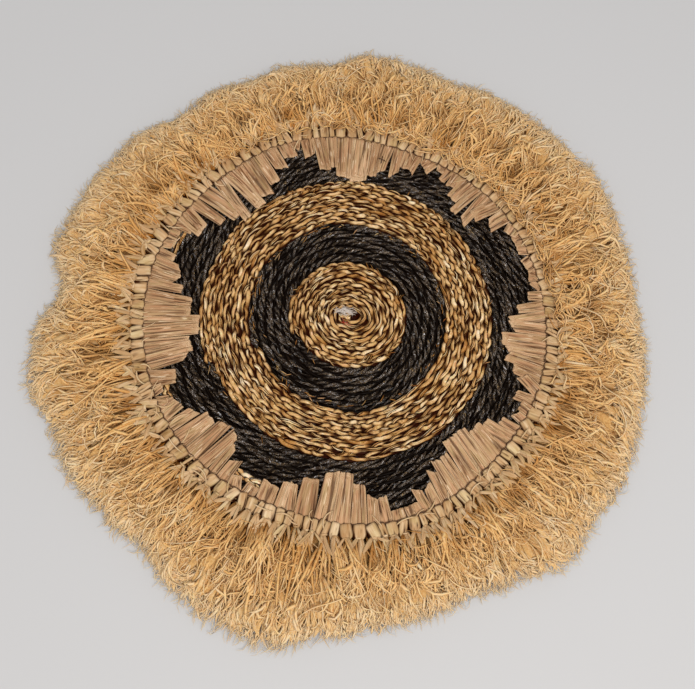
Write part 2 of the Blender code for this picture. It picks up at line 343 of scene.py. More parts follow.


# shine: roughness and gloss; bump: strength and size; grain, blotch: how fine across and along, for each cm;
# shares of the strand's own tone, the grain and the blotches in its tint; tints, patches and specks: where
# a tint lies from low to high; edge and deep: a dark tint of painted shade, and where it starts and ends
finishLooks = {
    "natural_cord": {
        "name": "naturalCord", "shine": (0.5, 0.05), "bump": (0.6, 0.35 * mm),
        "grain": (9.0, 0.9), "blotch": (1.5, 0.7), "shares": (0.5, 0.3, 0.2),
        "tints": ((0.15, (0.13, 0.034, 0.004)), (0.38, (0.455, 0.207, 0.050)), (0.60, (0.83, 0.555, 0.255)),
                  (0.77, (1.0, 0.87, 0.62))),
        "patches": ((0.36, (1.0, 0.80, 0.80)), (0.5, (1.0, 0.97, 0.95)), (0.64, (0.88, 0.92, 0.72))),
        "patchGrain": (1.0, 1.2),
        "edge": ((0.042, 0.007, 0.0003, 1), 0.325, 0.38),
        "deep": ((0.030, 0.0045, 0.0003, 1), 0.50, 0.86),
    },
    "dyed_cord": {
        "name": "dyedCord", "shine": (0.45, 0.06), "bump": (0.7, 0.4 * mm),
        "grain": (7.0, 1.0), "blotch": (1.5, 1.0), "shares": (0.3, 0.45, 0.25),
        "tints": ((0.25, (0.016, 0.007, 0.0025)), (0.55, (0.034, 0.019, 0.010)),
                  (0.8, (0.066, 0.044, 0.028))),
        # specks: partly undyed bits of the cord, partly painted glints of light on it
        "speck": ((0.34, (0.52, 0.34, 0.14)), (0.42, (0.36, 0.285, 0.22)), (0.60, (0.45, 0.40, 0.345)),
                  (0.68, (0.90, 0.87, 0.88))),
        "speckGrain": (15.0, 2.4), "speckFrom": 0.582,
        "deep": ((0.005, 0.002, 0.0006, 1), 0.5, 0.85),
    },
    "raffia_panels": {
        "name": "raffiaRibbon", "shine": (0.6, 0.1), "bump": (0.6, 0.25 * mm),
        "grain": (11.0, 0.35), "blotch": (1.5, 0.3), "shares": (0.4, 0.38, 0.22),
        "tints": ((0.12, (0.29, 0.138, 0.058)), (0.5, (0.58, 0.345, 0.178)), (0.9, (0.86, 0.61, 0.38))),
        "patches": ((0.36, (1.0, 0.90, 0.88)), (0.5, (1.0, 1.0, 1.0)), (0.64, (0.90, 0.97, 0.88))),
        "patchGrain": (2.0, 0.8),
        # specks: hairlines, partly grain, partly painted crease shade and painted highlight along the ridges
        "speck": ((0.46, (0.16, 0.065, 0.022)), (0.54, (0.40, 0.22, 0.10)), (0.60, (0.92, 0.70, 0.47))),
        "speckGrain": (24.0, 0.5), "speckFrom": 0.585,
        "deep": ((0.07, 0.025, 0.009, 1), 0.0, 0.85),
    },
    "raffia_binding": {
        "name": "raffiaBinding", "shine": (0.6, 0.06), "bump": (0.5, 0.25 * mm),
        "grain": (7.0, 0.8), "blotch": (1.5, 0.5), "shares": (0.4, 0.4, 0.2),
        "tints": ((0.12, (0.34, 0.155, 0.042)), (0.5, (0.62, 0.402, 0.205)), (0.9, (0.92, 0.71, 0.46))),
        "patches": ((0.36, (1.0, 0.94, 0.90)), (0.5, (1.0, 1.0, 1.0)), (0.64, (0.96, 0.99, 0.90))),
        "patchGrain": (1.5, 0.8),
        "deep": ((0.050, 0.011, 0.001, 1), 0.1, 0.85),
    },
    "raffia_fringe": {
        "name": "raffiaFringe", "shine": (0.6, 0.05), "bump": (0.4, 0.15 * mm),
        "grain": (4.0, 0.8), "blotch": (1.5, 0.5), "shares": (0.6, 0.2, 0.2),
        "tints": ((0.1, (0.61, 0.285, 0.074)), (0.5, (0.89, 0.585, 0.265)), (0.9, (0.84, 0.71, 0.52))),
        "patches": ((0.36, (1.0, 0.88, 0.76)), (0.5, (1.0, 0.98, 0.96)), (0.64, (1.0, 0.98, 0.84))),
        "patchGrain": (1.0, 0.6),
        "deep": ((0.34, 0.115, 0.012, 1), 0.34, 0.80),
    },
    "raffia_strips": {
        "name": "raffiaStrips", "shine": (0.6, 0.04), "bump": (0.6, 0.25 * mm),
        "grain": (8.0, 0.7), "blotch": (1.5, 0.5), "shares": (0.45, 0.35, 0.2),
        "tints": ((0.1, (0.44, 0.19, 0.045)), (0.5, (0.72, 0.42, 0.155)), (0.9, (0.92, 0.70, 0.40))),
        "deep": ((0.30, 0.095, 0.011, 1), 0.3, 0.8),
    },
    "fluff": {
        "name": "greyFluff", "shine": (0.8, 0.1), "bump": (0.2, 0.1 * mm),
        "grain": (3.0, 3.0), "blotch": (1.5, 2.0), "shares": (0.8, 0.1, 0.1),
        "tints": ((0.15, (0.52, 0.05, 0.018)), (0.4, (0.50, 0.37, 0.26)), (0.9, (0.84, 0.76, 0.69))),
        "deep": ((0.20, 0.12, 0.08, 1), 0.1, 0.6),
    },
    "thread": {
        "name": "sewingThread", "shine": (0.6, 0.3), "bump": (0.4, 0.1 * mm),
        "grain": (4.0, 6.0), "blotch": (1.5, 1.0), "shares": (0.4, 0.4, 0.2),
        "tints": ((0.2, (0.035, 0.014, 0.006)), (0.8, (0.17, 0.075, 0.03))),
        "deep": ((0.02, 0.008, 0.004, 1), 0.1, 0.5),
    },
}


def strandFinish(look):
    material = bpy.data.materials.new(look["name"])
    material.use_nodes = True
    tree = material.node_tree
    shader = tree.nodes["Principled BSDF"]
    for socket, value in zip(("Roughness", "Specular IOR Level"), look["shine"]):
        shader.inputs[socket].default_value = value
    grain = strandNoise(tree, look["grain"])
    blotch = strandNoise(tree, look["blotch"], shift=noiseShift["blotch"])
    parts = attributeOf(tree, "tone"), spread(tree, grain, 0.25, 0.75), spread(tree, blotch, 0.3, 0.7)
    parts = [calculate(tree, "MULTIPLY", part, share) for part, share in zip(parts, look["shares"])]
    mixed = calculate(tree, "ADD", calculate(tree, "ADD", parts[0], parts[1]), parts[2])
    colour = rampOf(tree, mixed, look["tints"])
    if "patches" in look:           # pinkish and greenish patches
        patch = strandNoise(tree, look["patchGrain"], detail=1.0, shift=noiseShift["patch"])
        colour = blendOf(tree, 1.0, colour, rampOf(tree, patch, look["patches"]), "MULTIPLY")
    # small flecks, partly real and partly painted glints, painted highlights and painted crease shade
    if "speck" in look:             # small flecks, each of its own tint
        start = look["speckFrom"]
        flecks = strandNoise(tree, look["speckGrain"], detail=1.0, shift=noiseShift["fleck"])
        speck = spread(tree, flecks, start, start + 0.04)
        fleckTint = strandNoise(tree, (1.0, 1.3), detail=0.0, shift=noiseShift["fleckTint"])
        colour = blendOf(tree, speck, colour, rampOf(tree, fleckTint, look["speck"]))
    # painted shade: the edge tint darkens the sides of each blade and its underside
    if "edge" in look:              # dark down the sides of each blade and under it
        edge, edgeFrom, edgeTo = look["edge"]
        upward = calculate(tree, "ABSOLUTE", calculate(tree, "SUBTRACT", mapOf(tree)[0], 0.5), 0.0)
        wander = calculate(tree, "MULTIPLY", calculate(tree, "SUBTRACT", grain, 0.5), 0.12)
        inside = spread(tree, calculate(tree, "ADD", upward, wander), edgeFrom, edgeTo)
        colour = blendOf(tree, inside, edge, colour)
    # painted shade: the strand turns to the deep tint where its painted light is low
    deep, shadeFrom, shadeTo = look["deep"]
    exposed = spread(tree, attributeOf(tree, "paintedLight"), shadeFrom, shadeTo)
    tree.links.new(blendOf(tree, exposed, deep, colour), shader.inputs["Base Color"])
    strength, size = look["bump"]
    bump = addNode(tree, "ShaderNodeBump", {"Height": grain, "Strength": strength, "Distance": size})
    tree.links.new(bump.outputs[0], shader.inputs["Normal"])
    return material


# Camera, floor and light
studio = {
    "lens": 33.67, "sensorWidth": 36.0,         # mm
    "nearest": 0.01,                            # the camera sees nothing closer than this
    "cameraPlace": (-0.0368, -0.1442, 0.5166),
    "cameraTurn": (13.174, -3.903, 0.0),
    "floorSize": 6.0, "floorCells": 12, "floorRoughness": 0.8, "floorGloss": 0.2,
    "floorColour": (0.614, 0.604, 0.600, 1),
    "keyPlace": (0.30, -0.95, 1.55),
    "keySize": 1.0,
    "keyPower": 16.0,
    "keyColour": (1.0, 0.975, 0.94),
    "skyColour": (0.98, 0.985, 1.0, 1),
    "skyStrength": 0.665,
}


def setStudio():
    bpy.ops.object.select_all(action="DESELECT")
    bpy.ops.object.camera_add(location=studio["cameraPlace"],
                              rotation=[math.radians(degrees) for degrees in studio["cameraTurn"]])
    camera = bpy.context.object
    camera.data.lens = studio["lens"]
    camera.data.sensor_width = studio["sensorWidth"]
    camera.data.sensor_fit = "HORIZONTAL"
    camera.data.clip_start = studio["nearest"]
    bpy.context.scene.camera = camera

    cells = studio["floorCells"]
    bpy.ops.mesh.primitive_grid_add(x_subdivisions=cells, y_subdivisions=cells, size=studio["floorSize"])
    floor = bpy.context.object
    floor.name = "floor"
    material = bpy.data.materials.new("paleFloor")
    material.use_nodes = True
    shader = material.node_tree.nodes["Principled BSDF"]
    shader.inputs["Base Color"].default_value = studio["floorColour"]
    shader.inputs["Roughness"].default_value = studio["floorRoughness"]
    shader.inputs["Specular IOR Level"].default_value = studio["floorGloss"]
    floor.data.materials.append(material)

    bpy.ops.object.light_add(type="AREA", location=studio["keyPlace"])
    key = bpy.context.object
    key.data.shape = "DISK"
    key.data.size = studio["keySize"]
    key.data.energy = studio["keyPower"]
    key.data.color = studio["keyColour"]
    key.rotation_euler = (-key.location).to_track_quat("-Z", "Y").to_euler()

    world = bpy.data.worlds.new("softSky")
    world.use_nodes = True
    sky = world.node_tree.nodes["Background"]
    sky.inputs["Color"].default_value = studio["skyColour"]
    sky.inputs["Strength"].default_value = studio["skyStrength"]
    bpy.context.scene.world = world
    bpy.context.scene.view_settings.view_transform = "Standard"


setStudio()
print("camera, floor and light set")


# The coil: one long cord laid round and round, in four lengths of two colours
coil = {
    "startAngle": 200.0,
    # turns from the middle, and the radius there
    "turns": (0.0, 1.0, 7.0, 12.0, 18.0, 25.0),
    "radii": (1.6 * mm, 6.4 * mm, 45.9 * mm, 80.15 * mm, 118.85 * mm, 162.8 * mm),
    "lastRadius": 161.2 * mm,
    "ovalTurn": -15.0, "ovalLong": 0.32, "ovalShort": 0.24, "ovalFade": 16.0 * mm,
    "axisHeight": 3.15 * mm,
    "wobble": 0.9 * mm, "wobbleSize": 0.07, "bumps": 0.28 * mm, "bumpSize": 0.011,
    # radius where it starts to follow the edge, and how softly it eases into the last turn
    "borderFrom": 0.119, "easeIn": 0.004,
    # tops: height of the cord's crests, which sets its painted light; then how dark the painted shade under
    # each strip blade is
    "tops": 6.0 * mm, "stripUnderShade": 0.55, "strayEnds": 95, "seed": 25,
    # first and last angle and radius in mm of the natural cord that shows past the dark border
    "naturalEnds": ((152.5, 161.5, 154.6), (199.5, 207.5, 157.2), (234.5, 243.5, 152.4)),
    # turns that have pulled apart: radius, size of the gap, and how far its edges reach
    "grooves": ((33.5 * mm, 0.9 * mm, 9.0 * mm), (102.0 * mm, 0.4 * mm, 9.0 * mm),
                (113.0 * mm, 0.6 * mm, 9.0 * mm)),
}
# three plies, plaited or twisted: how far they swing to the sides and up and down, and each ply's blades:
# half width, half thickness, distance from the ply's middle, sides, lean, and how uneven its width is
naturalCord = {
    "isPlait": True, "lay": 35.0 * mm, "swing": 1.75 * mm, "dive": 1.1 * mm, "stepsPerLay": 15,
    "blades": ((1.65 * mm, 1.3 * mm, 0.0, 8, 0.0, 0.14), (0.7 * mm, 0.4 * mm, 1.15 * mm, 3, 0.3, 0.4)),
    "bladeTurns": 0.0, "bladeSway": 0.3, "layUneven": 0.35, "ragged": 0.07, "seed": 21,
}
dyedCord = {
    "isPlait": False, "lay": 31.0 * mm, "swing": 1.9 * mm, "dive": 1.45 * mm, "stepsPerLay": 12,
    "blades": ((1.6 * mm, 1.3 * mm, 0.0, 4, 0.0, 0.25),),
    "bladeTurns": 0.4, "bladeSway": 0.5, "layUneven": 0.35, "ragged": 0.2, "seed": 22,
}
# how unevenly the plies lie: their pace, how sharply a plaited one swings and dives, and its lift
plies = {
    "slowest": 0.6, "fastest": 1.6, "phaseUneven": 0.25, "liftUneven": 0.25 * mm, "liftMost": 0.3 * mm,
    "swingSharp": 1.3, "diveSharp": 1.7, "diveLag": 0.4, "faceTilt": 0.5, "highest": 6.5 * mm,
}
# strand that holds two turns together
sewing = {"height": 2.1 * mm, "halfWidth": 2.0 * mm, "halfDepth": 1.35 * mm, "step": 6.0 * mm}
coilLengths = (
    ("coil_centre", 0.55, 7.0, naturalCord, "natural_cord"),
    ("coil_dark_ring", 7.0, 12.0, dyedCord, "dyed_cord"),
    ("coil_natural_band", 12.0, 18.0, naturalCord, "natural_cord"),
    ("coil_dark_border", 18.0, 25.5, dyedCord, "dyed_cord"),
)


def coilLine(turns):
    # the cord's middle line at a number of turns from the middle of the mat
    radius = np.interp(turns, coil["turns"], coil["radii"])
    angle = coil["startAngle"] + 360 * turns
    inBorder = np.clip((radius - coil["borderFrom"]) / (mat["edgeRadius"] - coil["borderFrom"]), 0, 1)
    swell = edgeAt(angle) - mat["edgeRadius"]
    last, ease = coil["lastRadius"], coil["easeIn"]
    radius = np.where(radius > last - ease, last - ease * np.exp(-(radius - last + ease) / ease), radius)
    wide = 1 + coil["ovalLong"] * np.exp(-radius / coil["ovalFade"])
    short = 1 - coil["ovalShort"] * np.exp(-radius / coil["ovalFade"])
    lean = math.radians(coil["ovalTurn"])
    heading = np.radians(angle) - lean
    x, y = radius * wide * np.cos(heading), radius * short * np.sin(heading)
    flat = np.stack([x * math.cos(lean) - y * math.sin(lean), x * math.sin(lean) + y * math.cos(lean)], -1)
    line = raised(flat, coil["axisHeight"])
    band = np.clip(radius / 0.08, 0.2, 1) * (1 - inBorder)
    drift = inBorder * swell + band * coil["wobble"] * ripple(line, coil["wobbleSize"], 3)
    drift += coil["bumps"] * ripple(line, coil["bumpSize"], 4)
    for middle, gap, reach in coil["grooves"]:
        drift += gap / 2 * np.tanh((radius - middle) / mm) * np.exp(-((radius - middle) / reach) ** 2)
    return line + unit(line * (1, 1, 0)) * drift[:, None]


def evenSteps(first, last, spacing):
    # turns at even distances along the cord
    turns = np.linspace(first, last, int(400 * (last - first)))
    line = coilLine(turns)
    run = np.concatenate([[0], np.cumsum(np.linalg.norm(np.diff(line, axis=0), axis=1))])
    count = max(8, int(run[-1] / spacing))
    return np.interp(np.linspace(0, run[-1], count), run, turns), run[-1]


def slowNoise(chance, count, every):
    # smooth random values along a strand, a new one at every so many steps
    knots = chance.normal(0, 1, count // every + 4)
    place = np.arange(count) / every
    before = place.astype(int)
    share = (1 - np.cos(np.pi * (place - before))) / 2
    return knots[before] * (1 - share) + knots[before + 1] * share


def layCord(line, outward, length, cord, seed):
    # plait or twist the plies along the cord's middle line, with each ply's blades on it
    chance = np.random.default_rng(seed)
    steps = len(line)
    above = np.array((0.0, 0.0, 1.0))
    evenPace = turn / cord["stepsPerLay"]
    pace = evenPace * (1 + cord["layUneven"] * slowNoise(chance, steps, 8))
    phase = np.cumsum(np.clip(pace, plies["slowest"] * evenPace, plies["fastest"] * evenPace))
    lift = plies["liftUneven"] * slowNoise(chance, steps, 9)
    lift = np.clip(lift, -plies["liftMost"], plies["liftMost"])[:, None]
    sets = []
    for ply in range(3):
        angle = (phase + turn * ply / 3 + plies["phaseUneven"] * slowNoise(chance, steps, 5))[:, None]
        # a plaited ply swings from side to side and dives under the next one twice, face up
        face, rise, side = angle, np.cos(angle), np.sin(angle)
        if cord["isPlait"]:
            face = plies["faceTilt"] * side
            rise = np.clip(plies["diveSharp"] * np.sin(2 * angle - plies["diveLag"]), -1, 1)
            side = np.clip(plies["swingSharp"] * side, -1, 1)
        away = np.cos(face) * above - np.sin(face) * outward
        path = line - outward * side * cord["swing"] + above * (cord["dive"] * rise + lift)
        tangent = unit(np.gradient(path, axis=0))
        away = unit(away - tangent * np.sum(away * tangent, -1, keepdims=True))
        across = np.cross(away, tangent)
        for wide, thick, out, sides, lean, uneven in cord["blades"]:
            sway = cord["bladeSway"] * slowNoise(chance, steps, 8) * (uneven > 0.1)
            lean = (lean + phase * cord["bladeTurns"] + sway)[:, None]
            outer = away * np.cos(lean) + across * np.sin(lean)
            beside = across * np.cos(lean) - away * np.sin(lean)
            size = np.clip(1 + uneven * slowNoise(chance, steps, 5), 0.4, 1.6)[None]
            jitter = 1 + cord["ragged"] * chance.normal(0, 1, (steps, sides, 1))
            rings = sweep((path + outer * out)[None], beside[None], outer[None], wide * size, thick * size,
                          (roundSection[sides] * jitter)[None])
            rings[..., 2] = np.clip(rings[..., 2], mat["overFloor"], plies["highest"])
            sets.append(shadedBlade(rings, chance, sides, length, out > 0))
    return sets


def shadedBlade(rings, chance, sides, length, isStrip):
    # painted light and shade along one blade: its tone drifts, it gets a painted highlight on its crests, and
    # painted shade low down and on its inner side
    steps = rings.shape[1]
    uneven = 0.20 if isStrip else 0.14
    # painted highlight: lighter where the blade rises to its crest
    crest = np.clip(rings[..., 2] / coil["tops"] - 0.84, -0.1, 0.1)
    tone = 0.5 + 0.11 * slowNoise(chance, steps, 15) + uneven * slowNoise(chance, steps, 4)
    tone = tone[None, :, None] + 1.4 * crest
    # painted shade: darker on the blade's inner and under side, and the lower it lies
    inner = np.interp(roundSection[sides][:, 1], (-1, -0.3, 0.3), (0.5, 0.8, 1.0))
    if isStrip:
        inner = np.interp(roundSection[sides][:, 1], (0, 0.5), (coil["stripUnderShade"], 1.0))
    paintedLight = np.clip(rings[..., 2] / coil["tops"], 0, 1) * inner
    return strandSet(rings, np.clip(tone, 0, 1), paintedLight, length)


def tuckTips(sets):
    # close the strands' ends by drawing them in
    for strands in sets:
        rings = strands["rings"]
        for end in (0, -1):
            middle = rings[:, end].mean(1, keepdims=True)
            rings[:, end] = middle + (rings[:, end] - middle) * 0.3
    return sets


def sewingStrand(first, last):
    # a plain strand low in the groove between one turn and the next, painted dark as the shade there
    turns, length = evenSteps(first, last, sewing["step"])
    line = coilLine(turns)
    line = (line + coilLine(turns + 1)) / 2
    line[:, 2] = sewing["height"]
    rings = roundStrands(line[None], sewing["halfWidth"], sewing["halfDepth"], 4)
    return strandSet(rings, 0.2, sewing["height"] / coil["tops"], length)


def lastTurn():
    # a dyed strand that closes the seam between the coil and the bound edge
    around = np.linspace(0, 360, 360)
    line = onMat(around, edgeAt(around) + 0.4 * mm, 4.2 * mm)[None]
    return strandSet(roundStrands(line, 2.2 * mm, 2.2 * mm, 5), 0.3, 0.8, turn * 163 * mm)


def strayEnds(chance, turns):
    # natural ends that fray out over the dyed cord where the two colours meet
    count, steps = coil["strayEnds"], 5
    at = turns + chance.uniform(-1, 0, count) + chance.normal(0, 0.06, count)
    start = coilLine(at)
    heading = np.arctan2(start[:, 1], start[:, 0]) + math.pi / 2 + chance.normal(0, 0.45, count)
    way = heading[:, None] + chance.normal(0, 0.4, (count, 1)) * np.linspace(0, 1, steps)
    length = chance.uniform(3.5, 9.0, count) * mm
    height = (5.7 + 0.5 * chance.uniform(0, 1, (count, 1)) - np.linspace(-0.5, 1, steps) ** 2) * mm
    path = raised(start[:, None, :2] + runOn(way, length), height)
    wide = chance.uniform(0.35, 0.8, (count, 1)) * mm * np.array((0.6, 1.0, 1.0, 0.8, 0.3))
    return strandSet(roundStrands(path, wide, wide * 0.6, 3), chance.uniform(0.0, 0.75, count), 0.82, length)


# The middle of the coil, in mm: the frayed start of the cord, a flat strand under it and the fluff over it
centre = {
    "start": ((-8.5, 2.2, 4.4), (0.5, -0.6, 4.0)), "under": ((-9.0, 0.5, 1.3), (9.0, -0.5, 1.3)),
    "fluffTurn": -0.32,
    # middle of each tuft, its number of hairs, how far it spreads, and its tone: grey above, red below
    "tufts": (((-2.6, 3.4), 55, (2.6, 1.2), 0.9), ((-7.5, 2.6), 16, (2.4, 0.4), 0.9),
              ((-4.0, -5.8), 6, (1.0, 0.5), 0.1), ((-1.5, -8.0), 3, (1.2, 0.4), 0.1)),
}


def makeCentre(finish):
    chance = np.random.default_rng(coil["seed"])
    line = np.linspace(*centre["start"], 10) * mm
    sets = layCord(line, np.tile((0.3, 0.95, 0.0), (10, 1)), 18 * mm, naturalCord, coil["seed"])
    under = np.linspace(*centre["under"], 4)[None] * mm
    # a flat strand under the start, painted dark as the shade in the middle of the coil
    sets.append(strandSet(roundStrands(under, 7.0 * mm, 0.9 * mm, 6), 0.2, 0.2, 18 * mm))
    place(joinStrands("coil_start", tuckTips(sets), finish["natural_cord"]), "natural_cord", "coil_centre")
    fluff, steps, lean = [], 6, centre["fluffTurn"]
    for middle, count, spreadMm, tone in centre["tufts"]:
        spot = chance.normal(0, 1, (count, 2)) * spreadMm
        x = spot[:, 0] * math.cos(lean) - spot[:, 1] * math.sin(lean)
        y = spot[:, 0] * math.sin(lean) + spot[:, 1]
        way = lean + chance.normal(0, 0.35, (count, 1))
        way = way + chance.normal(0, 0.9, (count, 1)) * np.linspace(-1, 1, steps)
        run = runOn(way, steps * chance.uniform(0.8, 1.9, count))
        flat = np.stack([x, y], -1)[:, None] + np.array(middle) + run - run.mean(1, keepdims=True)
        height = chance.uniform(6.0, 7.4, (count, 1)) + 0.5 * np.sin(np.linspace(0, 3, steps))
        path = raised(flat, height) * mm
        wide = chance.uniform(0.12, 0.26, (count, 1)) * mm * np.array((0.5, 1.0, 1.0, 1.0, 0.8, 0.3))
        rings = roundStrands(path, wide, wide * 0.7, 3)
        fluff.append(strandSet(rings, tone + chance.normal(0, 0.06, count), 0.9, 6 * mm))
    place(joinStrands("coil_fluff", fluff, finish["fluff"]), "natural_cord", "coil_centre")
    print("middle of the coil made")


def makeNaturalEnds(finish):
    # short stretches of natural cord between the dark border and the ribbons over it
    sets = []
    for index, (first, last, radiusMm) in enumerate(coil["naturalEnds"]):
        around = np.linspace(first, last, 11)
        line = onMat(around, radiusMm * mm, 3.55 * mm)
        length = math.radians(last - first) * radiusMm * mm
        sets += layCord(line, unit(line * (1, 1, 0)), length, naturalCord, naturalCord["seed"] + 90 + index)
    place(joinStrands("coil_border_ends", tuckTips(sets), finish), "natural_cord", "coil_dark_border")
    print("natural ends past the dark border made")


def makeCoil(finishes):
    for index, (name, first, last, cord, slot) in enumerate(coilLengths):
        turns, length = evenSteps(first, last, cord["lay"] / cord["stepsPerLay"])
        line = coilLine(turns)
        sets = layCord(line, unit(line * (1, 1, 0)), length, cord, cord["seed"] + 10 * index)
        sets.append(sewingStrand(max(first - 0.5, 0.7), last - 0.5))
        if last == coilLengths[-1][2]:
            sets.append(lastTurn())
        if cord is naturalCord:
            chance = np.random.default_rng(cord["seed"] + 5 + index)
            sets += [strayEnds(chance, end) for end in (first, last) if end > 1]
        piece = joinStrands(name + "_cord", tuckTips(sets), finishes[slot])
        place(piece, slot, name)
        print(f"{name}: {length:.2f} m of cord, {len(piece.data.polygons)} faces")


# Raffia panels: pleated ribbons side by side, over the dark border
panels = {
    "ribbonWidth": 9.5 * mm, "thickness": 0.5 * mm, "base": 6.6 * mm, "crown": 0.5 * mm, "rim": 0.22 * mm,
    "creases": (5, 10), "creaseDepth": 0.9 * mm, "tilt": 0.6 * mm, "tuck": 1.6 * mm, "seed": 31,
    "cutSlope": 1.9 * mm, "cutWave": 0.45 * mm, "ragged": 0.2 * mm,       # how a ribbon's inner end is cut
    # share of the way from the bound edge to the inner end, and how far a ribbon draws in and turns down
    "along": (0.0, 0.07, 0.2, 0.35, 0.5, 0.64, 0.77, 0.87, 0.94, 0.98, 1.0),
    "drawIn": (1.0, 1.0, 1.0, 1.0, 1.0, 1.0, 1.0, 1.0, 1.0, 0.99, 0.96),
    "level": (-0.1, 0.5, 0.9, 1.0, 1.0, 1.0, 1.0, 0.95, 0.8, 0.5, 0.1),
    "topPoints": 27, "widest": 1.12, "narrowest": 0.87, "lean": 1.1,
    "slits": {4: 0.04, 6: 0.10, 8: 0.04},       # panels whose ribbons draw in more towards their ends
    # folds across a ribbon, each painted a little lighter or darker as if tilted to the light
    "folds": 10,                                # patches of another shade across a ribbon
    "lowestTop": 6.35 * mm, "lowestUnder": 6.05 * mm,       # so that no ribbon sinks into the cord
}
panelSteps = {
    # first angle, then each step's last angle and the radius of its inner end in mm
    1: (-29.7, ((-26.7, 155), (-20.0, 148), (-16.5, 140), (-10.0, 133), (-5.2, 126), (2.3, 134.5),
                (5.5, 141), (8.6, 150), (20.2, 156.5))),
    2: (20.3, ((31.9, 155.5), (36.6, 145), (40.8, 139), (47.6, 129), (51.8, 137), (57.6, 146),
               (60.8, 153), (65.4, 149))),
    3: (66.1, ((72.3, 141), (79.8, 131), (83.0, 125), (89.1, 119.5), (94.0, 124), (101.5, 132),
               (105.4, 145), (108.0, 156))),
    4: (108.1, ((112.8, 149), (117.5, 141), (121.5, 133), (128.0, 125), (136.0, 119.5), (142.0, 126),
                (145.8, 133), (151.2, 141), (153.7, 149), (157.0, 156.5))),
    5: (157.1, ((160.6, 156), (163.2, 151), (170.2, 143), (173.3, 138), (181.5, 128), (188.2, 122),
                (194.7, 129), (197.2, 135), (201.6, 147), (204.3, 159))),
    6: (204.4, ((206.9, 158), (211.6, 152), (215.1, 145), (220.7, 138), (228.6, 131), (231.4, 139),
                (235.3, 147), (239.2, 154.5))),
    7: (239.3, ((243.4, 155), (248.9, 147), (254.7, 141), (260.4, 134), (270.1, 126), (274.6, 135),
                (281.4, 146), (285.6, 157.5))),
    8: (285.7, ((289.8, 157.5), (295.4, 148), (298.5, 141), (304.6, 134), (313.7, 127), (318.9, 133),
                (323.7, 139), (326.8, 148), (330.2, 155))),
}


def ribbonRows(firstAngle, steps, chance):
    # start, end and inner radius of each ribbon
    rows, start = [], firstAngle
    for end, innerMm in steps:
        count = max(1, round(math.radians(end - start) * innerMm * mm / panels["ribbonWidth"]))
        shares = chance.uniform(0.75, 1.25, count)
        cuts = start + (end - start) * np.concatenate([[0], np.cumsum(shares) / shares.sum()])
        inner = innerMm * mm + chance.uniform(-1.0, 1.0, count) * mm
        rows.append(np.stack([cuts[:-1], cuts[1:], inner]))
        start = end
    return np.concatenate(rows, axis=1)


# deep and fine creases: their half widths as a share of the ribbon's, and their heights
creases = {
    "deep": ((0.04, 0.08), (0.7, 1.7)), "fine": ((0.03, 0.06), (0.25, 0.8)),
    "drift": 0.17, "halfLength": (0.2, 0.75), "lowest": -1.8,
}


def creasesOf(count, share, topPoints, deep, fine, chance):
    # sharp folds and soft ripples that run along a ribbon, each for part of its length
    across = np.linspace(-1, 1, topPoints)
    share = share[None, :, None]
    each = (count, 1, 1)
    folds = np.zeros((count, share.size, topPoints))
    for index in range(deep + fine):
        widths, heights = creases["deep" if index < deep else "fine"]
        place = chance.uniform(-0.95, 0.95, each) + chance.normal(0, creases["drift"], each) * share
        wide = chance.uniform(*widths, each)
        height = chance.uniform(*heights, each)
        middle, half = chance.uniform(0, 1, each), chance.uniform(*creases["halfLength"], each)
        window = np.clip(1.6 * (1 - np.abs(share - middle) / half), 0, 1)
        folds -= height * window * np.exp(-np.abs(across - place) / wide)
    return across, np.maximum(folds, creases["lowest"])


def cutEnds(chance, count, across):
    # how far each point of a ribbon's inner end is cut back or stands out
    slope, wave = chance.normal(0, 1, (2, count, 1, 1))
    jag = panels["cutSlope"] * slope * across + panels["cutWave"] * np.sin(5 * across + 4 * wave)
    jag = jag + panels["ragged"] * chance.normal(0, 1, (count, 1, across.shape[-1]))
    return np.clip(jag, -2.9 * mm, 2.9 * mm)


